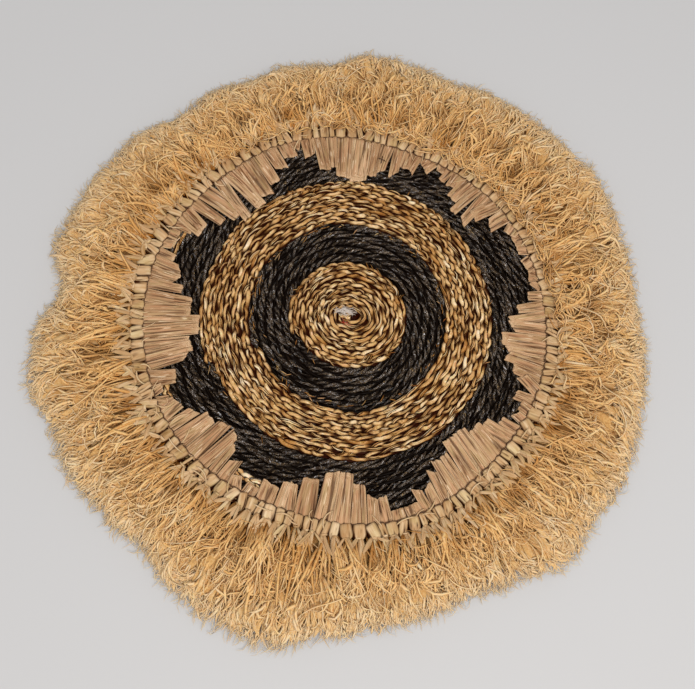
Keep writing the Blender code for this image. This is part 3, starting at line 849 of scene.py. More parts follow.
def makePanel(number, finish):
    firstAngle, steps = panelSteps[number]
    chance = np.random.default_rng(panels["seed"] + number)
    start, end, inner = ribbonRows(firstAngle, steps, chance)
    share = np.array(panels["along"])
    count = len(inner)
    middle, width = (start + end) / 2, np.radians(end - start) / 2
    outer = edgeAt(middle) + panels["tuck"]
    radius = outer[:, None] + (inner - outer)[:, None] * share
    lean = np.clip(chance.normal(0, panels["lean"], count), -3, 3)[:, None] * (share - 0.2)
    rootWide = chance.uniform(0.93, panels["widest"], count)[:, None]
    endWide = chance.uniform(panels["narrowest"], panels["widest"], count)[:, None]
    endWide = endWide - panels["slits"].get(number, 0.0)
    room = width[:, None] * (radius * 0.6 + 0.4 * outer[:, None])
    halfWidth = room * (rootWide * (1 - share) + endWide * share)
    halfWidth = halfWidth * np.array(panels["drawIn"])
    layer = np.where(np.arange(count) % 2 == 0, 0.25, 0.0) + chance.uniform(-0.1, 0.2, count)
    height = panels["base"] + panels["crown"] * np.array(panels["level"]) + layer[:, None] * mm
    path = onMat(middle[:, None] + lean, radius, height)

    across, folds = creasesOf(count, share, panels["topPoints"], *panels["creases"], chance)
    tilt = panels["tilt"] * np.clip(chance.normal(0, 0.8, count), -1.5, 1.5)[:, None, None]
    rim = panels["rim"] * np.exp(-((np.abs(across) - 0.9) / 0.06) ** 2)
    crown = panels["crown"] * 0.8 * (1 - across ** 8) + rim
    top = crown + panels["creaseDepth"] * folds * (1 - across ** 10) + tilt * across
    under = np.array((-0.9, -0.3, 0.3, 0.9))
    section = ribbonSection(across, top, under, tilt * under - panels["thickness"])
    rings = shapeRibbons(path, halfWidth, section)
    acrossShare = section[..., 0]
    jag = cutEnds(chance, count, acrossShare) * np.interp(share, (0.7, 1.0), (0, 1))[None, :, None]
    jag = jag * np.clip((outer - inner) / (16 * mm), 0.35, 1.0)[:, None, None]
    rings += unit(np.gradient(path, axis=1))[:, :, None] * jag[..., None]
    isTop = np.arange(section.shape[2]) < panels["topPoints"]
    rings[..., 2] = np.maximum(rings[..., 2], np.where(isTop, panels["lowestTop"], panels["lowestUnder"]))

    # painted shade: darker in the creases, along the ribbon's sides and on its underside
    shade = ribbonShade(1 + 0.7 * folds - 0.6 * np.abs(across) ** 20, 0.2, 4)
    tone = np.clip(chance.normal(0.42, 0.11, count), 0.05, 0.9)[:, None, None]
    each = (count, 1, 1)
    # painted light and shade: each fold of a ribbon a little lighter or darker, as if tilted to the light
    for _ in range(panels["folds"]):            # each fold of a ribbon has its own shade
        crease = chance.uniform(-0.9, 0.9, each) + chance.normal(0, 0.12, each) * share[:, None]
        tone = tone + chance.normal(0, 0.03, each) * np.tanh((acrossShare - crease) / 0.04)
    # painted highlight: lighter along the ribbon's sides and at its inner end
    edge = np.interp(np.abs(acrossShare), (0.80, 0.90), (0, 0.3))
    tone = tone + np.maximum(edge, np.interp(share, (0.9, 0.98), (0, 0.35))[None, :, None])
    strands = strandSet(rings, tone, np.clip(shade, 0, 1), outer - inner)
    piece = joinStrands(f"raffia_panel_{number}_ribbons", [strands], finish)
    place(piece, "raffia_panels", f"raffia_panel_{number}")
    print(f"panel {number}: {count} ribbons")


# The bound edge: raffia wrapped over a turn of cord and drawn in at a row of necks
binding = {
    "wraps": 134, "steps": 10, "topPoints": 11, "seed": 41, "coreSeed": 47,
    "innerGap": 0.5 * mm, "outer": 12.8 * mm, "ragged": 0.5 * mm, "neck": 0.80, "coreShade": 0.75,
    "underRings": ((9.5, 4.2), (12.5, 3.4), (15.5, 3.0)),       # out from the edge, and height, in mm
    "stitches": 1200,
    # share of the way out, half width as a share of the wrap's room, and height
    "share": (0.0, 0.06, 0.25, 0.55, 0.74, 0.84, 0.92, 1.0),
    "wide": (0.98, 1.0, 1.04, 1.03, 0.96, 0.66, 0.48, 0.45),
    "heightMm": (8.2, 8.8, 9.0, 9.0, 8.9, 8.4, 8.2, 8.0),
    "fanWidth": (1.0, 2.1), "fanLength": (11, 24), "fanLean": (0.12, 0.75),     # mm, mm, radians
    # angles where the wraps have slipped apart, and half their size
    "gaps": ((223.0, 1.5), (155.0, 1.8)),
    "crossing": 64,                             # loose strands that lie over the wraps and the panels
    "crossStitch": (78.8, 143 * mm, 3.4 * mm),  # angle, radius and size of a stitch that holds a panel
}


def wrapAngles(chance):
    shares = chance.uniform(0.6, 1.45, binding["wraps"])
    cuts = 360 * np.concatenate([[0], np.cumsum(shares) / shares.sum()])
    return (cuts[:-1] + cuts[1:]) / 2, np.diff(cuts) / 2


def crossingStrands(chance):
    # light strands that have worked loose and lie over the wraps and the panels' outer ends
    count, steps = binding["crossing"], 7
    angle = chance.uniform(0, 360, count)
    start = onMat(angle, edgeAt(angle) + chance.uniform(1, 9, count) * mm, 0.0)[:, :2]
    heading = np.radians(angle) + math.pi + chance.normal(0, 1.1, count)
    way = heading[:, None] + chance.normal(0, 0.5, (count, 1)) * np.linspace(-1, 1, steps)
    length = chance.uniform(7, 21, count) * mm
    flat = start[:, None] + runOn(way, length)
    around, radius = polarOf(flat)
    height = np.interp((radius - edgeAt(around)) / mm, (-8, -1, 1.5, 8), (8.1, 8.3, 9.8, 10.4)) * mm
    wide = chance.uniform(0.3, 0.75, (count, 1)) * mm * np.array((0.5, 1.0, 1.0, 1.0, 0.9, 0.7, 0.3))
    rings = roundStrands(raised(flat, height), wide, wide * 0.6, 4)
    return strandSet(rings, chance.uniform(0.6, 1.0, count), 1.0, length)


def neckFans(chance, middle, half):
    # three strips that leave each neck side by side and fan out into the fringe
    count, steps = 3 * len(middle), 6
    side = np.tile((-1.0, 1.0, 0.0), len(middle)) + chance.normal(0, 0.25, count)
    share = np.linspace(0, 1, steps)
    angle = np.repeat(middle, 3) + side * np.repeat(half, 3) * 0.22
    start = onMat(angle, edgeAt(angle) + binding["outer"] * 0.76, 0.0)[:, None, :2]
    lean = side * chance.uniform(*binding["fanLean"], count) + chance.normal(0, 0.12, count)
    way = np.radians(angle)[:, None] + lean[:, None] + chance.normal(0, 0.3, (count, 1)) * share
    length = chance.uniform(*binding["fanLength"], count) * mm
    run = runOn(way, length)
    path = raised(start + run - run[:, :1], 0.0)
    onFringe = np.interp(share, (0, 0.4), (0, 1))
    path[..., 2] = 8.3 * mm * (1 - onFringe) + domeAt(path) * chance.uniform(0.88, 1.0, (count, 1)) * onFringe
    roll = chance.normal(0, 0.15, (count, 1))
    taper = np.interp(share, (0, 0.3, 0.75, 1), (0.55, 1, 0.85, 0.2))
    wide = chance.uniform(*binding["fanWidth"], (count, 1)) * mm * taper
    across, folds = creasesOf(count, share, 5, 1, 3, chance)
    section = ribbonSection(across, 0.3 * mm + 0.5 * mm * folds, (-0.8, 0.8), -0.35 * mm)
    # painted shade: darker in the creases, on the underside and where the strips leave the neck
    shade = ribbonShade(1 + 0.3 * folds, 0.3, 2) * np.interp(share, (0, 0.25), (0.7, 1.0))[:, None]
    tone = np.clip(chance.normal(0.5, 0.15, count), 0, 1)
    return strandSet(shapeRibbons(path, wide, section, roll), tone, np.clip(shade, 0, 1), length)


def crossStitch():
    # two short dark stitches, one over the other
    angle, radius, size = binding["crossStitch"]
    middle = onMat(angle, radius, 8.3 * mm)
    across = np.linspace(-1, 1, 5)[:, None]
    sag = np.array((0, 0, 0.9 * mm)) * across ** 2
    path = np.stack([middle + size * across * np.array((math.cos(lean), math.sin(lean), 0)) - sag
                     for lean in (-0.4, 1.4)])
    return strandSet(roundStrands(path, 0.45 * mm, 0.45 * mm, 4), (0.3, 0.3), 0.8, 7 * mm)


def wrapStrands(chance, middle, half, inner, outer):
    count, steps = binding["wraps"], binding["steps"]
    share = np.linspace(0, 1, steps)
    radius = inner[:, None] + (outer - inner)[:, None] * share
    angle = middle[:, None] + chance.normal(0, 0.9, count)[:, None] * (share - 0.3)
    wide = np.interp(share, binding["share"], binding["wide"])
    height = np.interp(share, binding["share"], binding["heightMm"]) * mm
    height = height * (1 + 0.04 * chance.normal(0, 1, count)[:, None])
    path = onMat(angle, radius, height - 1.2 * mm)
    halfWidth = np.radians(half)[:, None] * radius * wide * chance.uniform(0.92, 1.08, count)[:, None]
    for gap, size in binding["gaps"]:
        halfWidth = np.where((np.abs(middle - gap) < size)[:, None], 0.3 * halfWidth, halfWidth)
    across, folds = creasesOf(count, share, binding["topPoints"], 3, 5, chance)
    folds = folds * np.interp(share, (0, 0.3, 0.7, 1), (0.5, 0.8, 1.5, 1.5))[None, :, None]
    slope = chance.normal(0, 0.25 * mm, (count, 1, 1)) * across
    top = 0.9 * mm * (1 - np.abs(across) ** 10) + 0.5 * mm * folds * (1 - across ** 6) + slope
    section = ribbonSection(across, top, (-0.9, 0.0, 0.9), -1.3 * mm)
    rings = shapeRibbons(path, halfWidth, section)
    jag = binding["ragged"] * chance.normal(0, 1, (count, 1, section.shape[2], 1))
    shift = unit(np.gradient(path, axis=1))[:, :, None] * jag
    rings += shift * np.interp(share, (0.6, 1.0), (0, 1))[:, None, None]
    # painted shade: darker in the creases, at the wrap's sides and on its underside
    shade = ribbonShade(1 + 0.6 * folds - 2.6 * np.abs(across) ** 8, 0.1, 3)
    tone = np.clip(chance.normal(0.5, 0.16, count), 0.02, 0.98)
    return strandSet(rings, tone, np.clip(shade, 0, 1), 12 * mm)


def neckStrands(chance, middle, half, inner, outer):
    # a strand of raffia over each neck
    count, across = binding["wraps"], np.linspace(-1, 1, 7)
    radius = inner + (outer - inner) * binding["neck"] + chance.normal(0, 0.4, count) * mm
    angle = middle + chance.normal(0, 0.2, count)
    reach = np.radians(half) * radius * chance.uniform(0.4, 0.75, count)
    bow = 8.9 * mm - 2.6 * mm * np.abs(across) ** 2.4
    path = onMat(angle[:, None] + np.degrees(across * reach[:, None] / radius[:, None]),
                 radius[:, None] + 0.5 * mm * across * chance.normal(0, 1, count)[:, None], bow)
    rings = roundStrands(path, chance.uniform(0.4, 1.3, count)[:, None] * mm, 0.55 * mm, 6)
    return strandSet(rings, np.clip(chance.normal(0.45, 0.2, count), 0, 1), 0.85, 6 * mm)


def makeCore(finish):
    # the turn of cord inside the wraps and the raffia that runs round under the necks, both painted dark as
    # the shade there
    around = np.linspace(0, 360, 280)
    line = onMat(around, edgeAt(around) + 5.4 * mm, 3.4 * mm)
    cord = dict(naturalCord, stepsPerLay=9, blades=naturalCord["blades"][:1])
    length = float(np.sum(np.linalg.norm(np.diff(line, axis=0), axis=1)))
    sets = layCord(line, unit(line * (1, 1, 0)), length, cord, binding["coreSeed"])
    # painted shade on the cord that shows between the wraps
    for strands in sets:
        strands["paintedLight"] = strands["paintedLight"] * binding["coreShade"]
    around = np.linspace(0, 360, 240)
    # painted shade: the rings under the necks take the dark tint
    for outMm, heightMm in binding["underRings"]:
        ring = onMat(around, edgeAt(around) + outMm * mm, heightMm * mm)[None]
        sets.append(strandSet(roundStrands(ring, 2.3 * mm, 2.3 * mm, 5), 0.5, 0.3, length))
    place(joinStrands("bound_edge_core", sets, finish), "natural_cord", "bound_edge")
    return length


def makeThread(chance, middle, half, length, finish):
    # the dark thread that sews the panels down, dipping in between the wraps
    stitch = np.arange(binding["stitches"] + 1)
    around = 360 * stitch / binding["stitches"]
    nearest = np.abs((around[:, None] - middle[None, :] + 180) % 360 - 180).argmin(1)
    scallop = 0.45 * mm * np.cos(np.pi * (around - middle[nearest]) / half[nearest])
    dip = 0.35 * mm * np.cos(turn * stitch / 8) + 0.5 * mm * slowNoise(chance, len(stitch), 12)
    line = onMat(around, edgeAt(around) + 0.1 * mm - scallop, 7.9 * mm + dip)[None]
    thick = 0.40 * mm * (1 + 0.35 * np.cos(turn * stitch / 8 + 2.0))[None]
    sewn = strandSet(roundStrands(line, thick, thick, 4), 0.5, 0.8, length)
    place(joinStrands("sewing_thread", [sewn, crossStitch()], finish), "dyed_cord", "bound_edge")


def makeBinding(finishes):
    chance = np.random.default_rng(binding["seed"])
    middle, half = wrapAngles(chance)
    count = binding["wraps"]
    inner = edgeAt(middle) + binding["innerGap"] - 0.5 * mm * chance.uniform(0, 1, count)
    outer = edgeAt(middle) + binding["outer"] + chance.normal(0, 0.5, count) * mm
    sets = [wrapStrands(chance, middle, half, inner, outer), neckStrands(chance, middle, half, inner, outer),
            neckFans(chance, middle, half), crossingStrands(chance)]
    piece = joinStrands("bound_edge_wraps", sets, finishes["raffia_binding"])
    place(piece, "raffia_binding", "bound_edge")
    length = makeCore(finishes["natural_cord"])
    makeThread(chance, middle, half, length, finishes["thread"])
    print(f"bound edge: {count} wraps")


# The fringe: crumpled strips from the necks, with frayed and curled raffia all over them
fringe = {
    "seed": 51,
    # strands in each eighth of the mat, and in each of its tufts
    "bedStrips": 12, "lockCount": 220, "furCount": 900, "tuftCount": 22, "tuftFibres": (6, 18),
    # rows of base strips: how many, share of the way out where they start, their level, half width and
    # length in mm, and how far inside the outline they end
    "stripRows": ((14, -0.02, 0.62, 5.5, 36, 14), (18, 0.08, 0.72, 5.0, 34, 13),
                  (20, 0.24, 0.82, 4.5, 32, 12), (24, 0.40, 0.88, 4.0, 30, 10), (30, 0.54, 0.92, 3.4, 26, 8),
                  (38, 0.68, 0.95, 2.6, 22, 5), (48, 0.80, 0.95, 1.8, 17, 1.5)),
    # where the strands lie combed outwards, and where they lean in over the edge: angle, spread, strength
    "combed": ((248, 52, 1.0), (180, 18, 0.7), (316, 26, 0.85)),
    "leaning": ((48, 32, 1.0), (112, 24, 0.5), (0, 14, 0.4)),
    # the way the raffia is brushed, away from straight outwards, from its roots (0) to its tips (1)
    "brushShare": (0.0, 0.15, 0.45, 0.75, 1.0), "brushTurn": (0.35, 0.55, 1.0, 0.7, 0.35),
    # share of the strands with a sharp bend, how sharp it is in radians, and where along them it lies
    "kinked": 0.07, "kinkTurn": 0.75, "kinkFrom": (0.2, 0.8),
    "lowest": 0.7 * mm, "humpFade": 12 * mm,    # a hump is lower where the fringe is thinner than this
    # half widths in mm of fine fibres (least, spread, power) and of broad ones, and how thick for their width
    "fineWidth": (0.4, 0.5, 1.5), "broadWidth": (0.9, 1.9), "fineFlat": 0.5, "broadFlat": 0.2,
    "pale": 0.66,                               # how much lighter the strands are towards the tips
    # painted shade in the fringe's hollows
    "valleyShade": 0.37,                        # how much darker they are in the hollows
}
# single fibres in each eighth of the mat: their start as a share of the way out, the turn of their heading,
# their bend, hook and sway, their level and its rise along them, how far in past the roots they may reach,
# more so where they lean, and how far out past the outline. Lengths are in mm.
# Two numbers are an even spread; "bell" has a middle and a spread, "low" a size and a power,
# and "either" is an even spread to both sides
singleKinds = {
    "loose": {          # short curls among the tufts
        "count": 70, "start": (0.03, 0.9), "heading": ("bell", 0, 1.2), "length": (8, 22), "steps": 5,
        "curl": (("bell", 0, 1.2), ("bell", 0, 1.2), (0.1, 0.4)), "level": (0.88, 1.05),
        "rise": (0.85, 1.0, 1.0), "hump": (0, 3), "inward": 2, "leaning": 6, "outward": ("bell", -2, 3),
        "tone": ("bell", 0.6, 0.15), "halfWidth": (0.28, 0.6), "flat": (0.4, 0.7), "roll": 0.5,
    },
    "long": {           # long strands that lie across the others
        "count": 7, "start": (0.0, 0.8), "heading": (-1.4, 1.4), "length": (22, 46), "steps": 10,
        "curl": (("bell", 0, 0.8), ("bell", 0, 0.5), (0.05, 0.3)), "level": 1.0,
        "rise": (0.9, 1.03, 1.02), "hump": (0, 2.5), "inward": 5, "leaning": 0, "outward": (-6, 2),
        "tone": (0.5, 0.9), "halfWidth": (0.4, 0.9), "flat": (0.4, 0.6), "roll": 0.2,
    },
    "halo": {           # fine pale hairs along the outline
        "count": 460, "start": (0.80, 1.0), "heading": ("bell", 0, 0.3), "length": (7, 17), "steps": 4,
        "curl": (("bell", 0, 0.6), ("bell", 0, 0.6), (0.05, 0.2)), "level": (0.6, 1.1),
        "rise": (0.8, 1.0, 1.0), "hump": (0, 2), "inward": 0, "leaning": 0, "outward": ("low", 10, 1.2),
        "tone": (0.5, 0.9), "halfWidth": (0.22, 0.42), "flat": 0.7, "roll": 0.5,
    },
    "leaning": {        # a tangle that leans in over the bound edge, along parts of it only
        "count": 200, "start": (-0.1, 0.12), "heading": ("either", 0.9, 2.6), "length": (9, 22), "steps": 6,
        "curl": (("bell", 0, 1.0), ("bell", 0, 1.0), (0.1, 0.4)), "level": (0.95, 1.06),
        "rise": (0.95, 1.0, 1.0), "hump": (0, 2), "inward": (3, 10), "leaning": 0, "outward": 0,
        "tone": ("bell", 0.75, 0.14), "halfWidth": (0.35, 1.0), "flat": (0.25, 0.5), "roll": 0.5,
    },
}


def sectorAt(name, angle):
    total = np.zeros_like(angle)
    for middle, spreadAngle, strength in fringe[name]:
        total += strength * np.exp(-(((angle - middle + 180) % 360 - 180) / spreadAngle) ** 2)
    return np.clip(total, 0, 1)


def spotsAt(angle, share):
    root = rootAt(angle)
    return onMat(angle, root + share * (reachAt(angle) - root), 0.0)[:, :2]


def brushedWay(spot):
    # the heading of the raffia at a spot: neighbouring strands are brushed the same way
    angle = polarOf(spot)[0]
    swirl = 0.9 * ripple(spot, 0.036, 6) + 0.6 * ripple(spot, 0.014, 7)
    amount = np.interp(fringeShare(spot), fringe["brushShare"], fringe["brushTurn"])
    amount = amount * (1 - 0.55 * sectorAt("combed", angle) + 0.4 * sectorAt("leaning", angle))
    return np.radians(angle) + swirl * amount


def layFibres(chance, spot, heading, length, curl, level, hump, steps, limits):
    # a fibre starts at its spot; curl is its bend, its hook at the tip and its sway,
    # level is its height in the fringe at its start, near its start and at its tip
    count = len(spot)
    share = np.linspace(0, 1, steps)
    bend, hook, sway = curl
    wave = turn * (chance.uniform(0.5, 1.4, (count, 1)) * share + chance.uniform(0, 1, (count, 1)))
    way = heading[:, None] + bend[:, None] * share + hook[:, None] * share ** 3 + sway[:, None] * np.sin(wave)
    kink = chance.normal(0, fringe["kinkTurn"], (count, 1))
    kink = kink * (chance.uniform(0, 1, (count, 1)) < fringe["kinked"])
    way = way + kink * (share > chance.uniform(*fringe["kinkFrom"], (count, 1)))
    pace = np.stack([np.cos(way), np.sin(way)], -1) * (length / (steps - 1))[:, None, None]
    run = np.concatenate([np.zeros((count, 1, 2)), np.cumsum(pace[:, 1:], axis=1)], 1)
    path = spot[:, None] + run
    inward, outward = limits
    for _ in range(2):                  # keep near the outline, and off the bound edge
        angle, radius = polarOf(path)
        out = np.max(radius - reachAt(angle), axis=1) - outward
        back = np.min(radius - rootAt(angle), axis=1) + inward
        shift = -np.maximum(out, 0) + np.maximum(-back, 0)
        away = unit(path[:, [steps // 2]])
        path = path + away * shift[:, None, None]
    top = domeAt(path)
    rise = np.stack([np.interp(share, (0, 0.3, 1), row) for row in np.broadcast_to(level, (count, 3))])
    bow = hump[:, None] * np.sin(np.pi * share) * np.minimum(top / fringe["humpFade"], 1)
    height = np.maximum(top * rise + bow, fringe["lowest"])
    # painted shade: darker the lower the fibre lies in the fringe
    paintedLight = np.clip(height / top, 0, 1.15) / 1.15
    return np.concatenate([path, height[..., None]], -1), paintedLight


def stripWidths(chance, count, broad):
    # most fibres are fine, and a share of them are broad flat strips
    least, more, power = fringe["fineWidth"]
    fine = least + more * chance.uniform(0, 1, count) ** power
    isBroad = chance.uniform(0, 1, count) < broad
    width = np.where(isBroad, chance.uniform(*fringe["broadWidth"], count), fine) * mm
    return width, np.where(isBroad, fringe["broadFlat"], fringe["fineFlat"])


def palerOut(path, tone, paintedLight):
    # strands are lighter towards the outline, deep in the fringe as well as on it; painted shade darkens them
    # in the hollows and near the roots and fades out towards the outline
    away = np.clip(fringeShare(path), 0, 1)
    hollowShade = np.clip(-ripple(path, mat["lumpSize"], 5), 0, 1) * np.interp(away, (0.6, 1.0), (1.0, 0.0))
    paintedLight = paintedLight * (1 - fringe["valleyShade"] * hollowShade) * np.interp(away, (0.0, 0.3), (0.88, 1.0))
    fill = np.interp(away, (0.22, 0.72), (0, 0.88))
    own = (tone - 0.5)[:, None] * np.interp(away, (0.3, 0.9), (1.1, 0.5))
    return np.clip(0.5 + own + fringe["pale"] * (away - 0.45), 0, 1), paintedLight + (1 - paintedLight) * fill


def fibreSet(chance, path, paintedLight, tone, halfWidth, flat, length, rollSpread):
    # thin flat fibres, drawn to a point, paler towards the outline, with painted shade deep in the fringe
    count, steps = path.shape[:2]
    share = np.linspace(0, 1, steps)
    roll = chance.normal(0, rollSpread, (count, 1)) + chance.normal(0, 0.6, (count, 1)) * (2 * share - 1)
    across, upward = frameAlong(path, roll)
    wide = halfWidth[:, None] * np.interp(share, (0, 0.12, 0.7, 1), (0.6, 1.0, 0.85, 0.2))
    rings = sweep(path, across, upward, wide, wide * flat[:, None], roundSection[3])
    rings[..., 2] = np.maximum(rings[..., 2], mat["overFloor"])
    tone, paintedLight = palerOut(path, tone, paintedLight)
    return strandSet(rings, tone, paintedLight, length)


def baseStrips(chance, first):
    # broad crumpled strips under all the others, laid like shingles from the necks out
    rows, steps = fringe["stripRows"], 6
    inRow, start, height, half, long, inside = np.repeat(np.array(rows), [row[0] for row in rows], axis=0).T
    count, share = len(start), np.linspace(0, 1, steps)
    inOrder = np.concatenate([np.arange(row[0]) for row in rows])
    angle = first + 45 * (inOrder + chance.uniform(0, 1, count)) / inRow
    spot = spotsAt(angle, start + chance.normal(0, 0.04, count))
    heading = 0.5 * (brushedWay(spot) - np.radians(angle)) + np.radians(angle) + chance.normal(0, 0.15, count)
    length = chance.uniform(0.75, 1.25, count) * long * mm
    curl = chance.normal(0, 0.3, count), chance.normal(0, 0.3, count), chance.uniform(0.05, 0.2, count)
    level = (height + chance.uniform(-0.12, 0.08, count))[:, None] * np.array((0.6, 0.9, 0.95))
    limits = np.full(count, 5 * mm), -chance.uniform(0.6, 1.5, count) * inside * mm
    path, paintedLight = layFibres(chance, spot, heading, length, curl, level, np.zeros(count), steps, limits)
    roll = chance.normal(0, 0.12, (count, 1))
    across, folds = creasesOf(count, share, 5, 2, 2, chance)
    taper = np.interp(share, (0, 0.3, 0.7, 1), (0.5, 1, 0.85, 0.2))
    wide = (half * chance.uniform(0.55, 1.1, count))[:, None] * mm * taper
    section = ribbonSection(across, 0.2 * mm + 0.55 * mm * folds, (-0.8, 0.8), -0.3 * mm)
    rings = shapeRibbons(path, wide, section, roll)
    rings[..., 2] = np.maximum(rings[..., 2], mat["overFloor"])
    # painted shade: darker deeper in the fringe, in its hollows, in the creases and on the underside
    tone, paintedLight = palerOut(path, chance.normal(0.42, 0.13, count), paintedLight)
    return strandSet(rings, tone, paintedLight[..., None] * ribbonShade(1 + 0.16 * folds, 0.6, 2), length)


def bedStrips(chance, first):
    # a matted bed under the strips, so that no floor shows between them
    count, steps = fringe["bedStrips"], 9
    share = np.linspace(0, 1, steps)
    angle = first + 45 * (np.arange(count) + 0.5) / count
    start, end = rootAt(angle) + 1.5 * mm, reachAt(angle) - chance.uniform(8, 13, count) * mm
    radius = start[:, None] + (end - start)[:, None] * share
    path = onMat(angle[:, None], radius, 0.0)
    path[..., 2] = domeAt(path) * np.interp(share, (0, 0.2, 0.8, 1), (0.55, 0.6, 0.62, 0.3))
    path[..., 2] += chance.uniform(-0.4, 0.4, (count, 1)) * mm
    roll = chance.normal(0, 0.05, (count, 1))
    wide = math.radians(45 / count) * 0.7 * radius * np.interp(share, (0.75, 1), (1, 0.4))
    across, folds = creasesOf(count, share, 5, 2, 2, chance)
    section = ribbonSection(across, 0.3 * mm * folds, (-0.8, 0.8), -0.5 * mm)
    rings = shapeRibbons(path, wide, section, roll)
    rings[..., 2] = np.maximum(rings[..., 2], mat["overFloor"])
    # painted shade: the bed is painted part way into the deep tint
    return strandSet(rings, chance.normal(0.5, 0.08, count), 0.62, end - start)


def lockFibres(chance, first, middle, half):
    # strands that fan out of each neck of the bound edge
    count = fringe["lockCount"]
    own = np.flatnonzero((middle >= first) & (middle < first + 45))
    neck = chance.choice(own, count)
    angle = middle[neck] + half[neck] * chance.normal(0, 0.35, count)
    combed = sectorAt("combed", angle)
    spot = spotsAt(angle, np.full(count, -0.05))
    heading = brushedWay(spot) + chance.normal(0, 0.14, count) + chance.normal(0, 0.14, len(middle))[neck]
    length = (reachAt(angle) - rootAt(angle)) * (chance.uniform(0.22, 0.6, count) + 0.25 * combed)
    loose = 1.0 - 0.5 * combed
    curl = (chance.normal(0, 0.5, count) * loose, chance.normal(0, 0.6, count) * loose,
            chance.uniform(0.03, 0.25, count) * loose)
    level = chance.uniform(0.72, 1.04, (count, 1)) * np.array((0.55, 0.97, 1.0))
    path, paintedLight = layFibres(chance, spot, heading, length, curl, level, chance.uniform(0, 1.5, count) * mm, 7,
                            (np.full(count, 4 * mm), chance.uniform(-6, 3, count) * mm))
    tone = 0.45 + chance.normal(0, 0.12, len(middle))[neck] + chance.normal(0, 0.12, count)
    wide, flat = stripWidths(chance, count, 0.55)
    return fibreSet(chance, path, paintedLight, tone, wide, flat, length, 0.25)


def furFibres(chance, first):
    # short frayed ends all over, brushed like fur, low at their start and high at their tip
    count = fringe["furCount"]
    angle = first + 45 * chance.uniform(0, 1, count)
    share = chance.uniform(0.0, 1.0, count) ** 0.8 * 0.95
    spot = spotsAt(angle, share)
    leaning = sectorAt("leaning", angle)
    heading = brushedWay(spot) + chance.normal(0, 0.15, count)
    length = chance.uniform(9, 22, count) * mm * np.interp(share, (0, 0.6, 1), (1.15, 1.0, 0.8))
    curl = chance.normal(0, 0.4, count), chance.normal(0, 0.5, count), chance.uniform(0.03, 0.2, count)
    level = (1.03 - 0.24 * chance.uniform(0, 1, count) ** 1.5)[:, None] * np.array((0.55, 0.92, 1.04))
    path, paintedLight = layFibres(chance, spot, heading, length, curl, level, chance.uniform(0, 1.5, count) * mm, 5,
                            (2 * mm + 4 * mm * leaning, chance.normal(-0.5, 3.0, count) * mm))
    wide, flat = stripWidths(chance, count, 0.35)
    tone = 0.5 + 0.12 * ripple(spot, 0.024, 8) + chance.normal(0, 0.13, count)
    return fibreSet(chance, path, paintedLight, tone, wide, flat, length, 0.4)


def tuftFibres(chance, first):
    # frayed strips: each tuft's fibres leave one place together and fan apart
    tufts = fringe["tuftCount"]
    sizes = chance.integers(*fringe["tuftFibres"], tufts)
    owner = np.repeat(np.arange(tufts), sizes)
    count = len(owner)
    angle = (first + 45 * chance.uniform(0, 1, tufts))[owner]
    leaning = sectorAt("leaning", angle)
    spot = spotsAt(angle, chance.uniform(0.02, 0.85, tufts)[owner])
    heading = brushedWay(spot) + chance.normal(0, 0.4, tufts)[owner] + chance.normal(0, 0.15, count)
    spot = spot + chance.normal(0, 1.4 * mm, (count, 2))
    length = chance.uniform(15, 34, tufts)[owner] * mm * chance.uniform(0.55, 1.05, count)
    curl = (chance.normal(0, 0.8, tufts)[owner] + chance.normal(0, 0.3, count), chance.normal(0, 0.7, count),
            chance.uniform(0.05, 0.3, count))
    level = (chance.uniform(0.85, 1.04, tufts)[owner] - 0.15 * chance.uniform(0, 1, count))[:, None]
    path, paintedLight = layFibres(chance, spot, heading, length, curl, level * np.array((0.75, 1.0, 1.0)),
                            chance.uniform(0, 2.5, count) * mm, 6,
                            (3 * mm + 5 * mm * leaning, chance.normal(-1.5, 3.5, count) * mm))
    wide, flat = stripWidths(chance, count, 0.3)
    tone = chance.normal(0.52, 0.13, tufts)[owner] + chance.normal(0, 0.12, count)
    return fibreSet(chance, path, paintedLight, tone, wide, flat, length, 0.35)


def drawn(chance, spec, count):
    # values of one of the kinds that singleKinds names
    if isinstance(spec, (int, float)):
        return np.full(count, float(spec))
    kind, first, second = spec if len(spec) == 3 else ("even", *spec)
    if kind == "bell":
        return chance.normal(first, second, count)
    if kind == "low":
        return first * chance.uniform(0, 1, count) ** second
    values = chance.uniform(first, second, count)
    return values * chance.choice((-1, 1), count) if kind == "either" else values


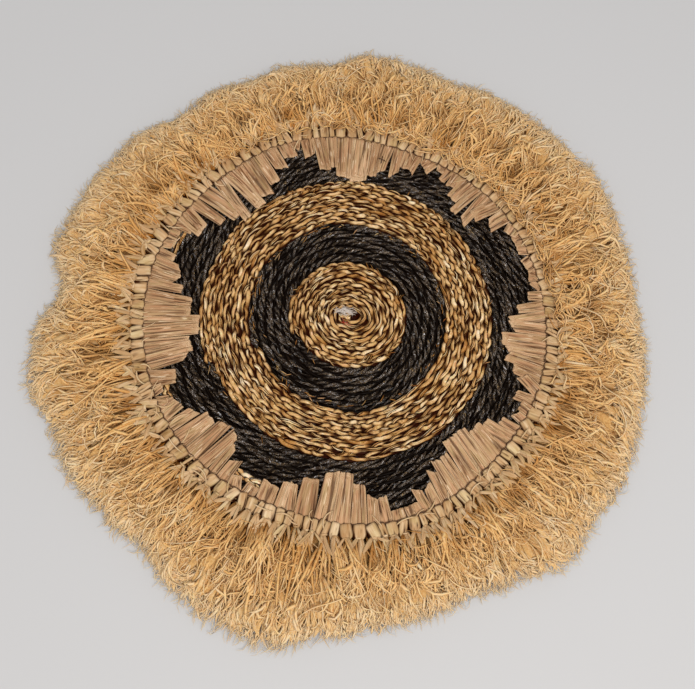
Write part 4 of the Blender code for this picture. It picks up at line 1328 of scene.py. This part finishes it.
def singleFibres(chance, first, name):
    kind = singleKinds[name]
    angle = first + 45 * chance.uniform(0, 1, kind["count"])
    if name == "leaning":
        angle = angle[chance.uniform(0, 1, len(angle)) < sectorAt("leaning", angle)]
    count = len(angle)
    spot = spotsAt(angle, drawn(chance, kind["start"], count))
    heading = brushedWay(spot) if name == "halo" else np.radians(angle)
    heading = heading + drawn(chance, kind["heading"], count)
    length = drawn(chance, kind["length"], count) * mm
    curl = [drawn(chance, spec, count) for spec in kind["curl"]]
    level = drawn(chance, kind["level"], count)[:, None] * np.array(kind["rise"])
    hump = drawn(chance, kind["hump"], count) * mm
    inward = drawn(chance, kind["inward"], count) * mm + kind["leaning"] * mm * sectorAt("leaning", angle)
    limits = inward, drawn(chance, kind["outward"], count) * mm
    path, paintedLight = layFibres(chance, spot, heading, length, curl, level, hump, kind["steps"], limits)
    tone = drawn(chance, kind["tone"], count)
    halfWidth = drawn(chance, kind["halfWidth"], count) * mm
    flat = drawn(chance, kind["flat"], count)
    return fibreSet(chance, path, paintedLight, tone, halfWidth, flat, length, kind["roll"])


def makeFringe(finishes):
    middle, half = wrapAngles(np.random.default_rng(binding["seed"]))
    for number in range(1, 9):
        chance = np.random.default_rng(fringe["seed"] + number)
        first = 45.0 * (number - 1)
        strips = joinStrands(f"fringe_{number}_strips", [baseStrips(chance, first), bedStrips(chance, first)],
                             finishes["raffia_strips"])
        sets = [lockFibres(chance, first, middle, half), furFibres(chance, first), tuftFibres(chance, first),
                *(singleFibres(chance, first, name) for name in ("loose", "long", "halo"))]
        if sectorAt("leaning", np.array((first, first + 22.5, first + 45))).max() > 0.1:
            sets.append(singleFibres(chance, first, "leaning"))
        piece = joinStrands(f"fringe_{number}_raffia", sets, finishes["raffia_fringe"])
        for part in (strips, piece):
            place(part, "raffia_fringe", f"fringe_{number}")
        triangles = sum(len(p.vertices) - 2 for p in piece.data.polygons)
        print(f"fringe {number}: {sum(len(s['rings']) for s in sets)} strands, {triangles} triangles")


finishes = {name: strandFinish(look) for name, look in finishLooks.items()}

makeCoil(finishes)
makeCentre(finishes)
makeNaturalEnds(finishes["natural_cord"])
for number in panelSteps:
    makePanel(number, finishes["raffia_panels"])
makeBinding(finishes)
makeFringe(finishes)
triangles = {piece.name: sum(len(face.vertices) - 2 for face in piece.data.polygons)
             for piece in bpy.data.objects if piece.type == "MESH" and "strand" in piece.data.uv_layers}
print("all pieces made:", sum(triangles.values()), "triangles, most in one piece", max(triangles.values()))
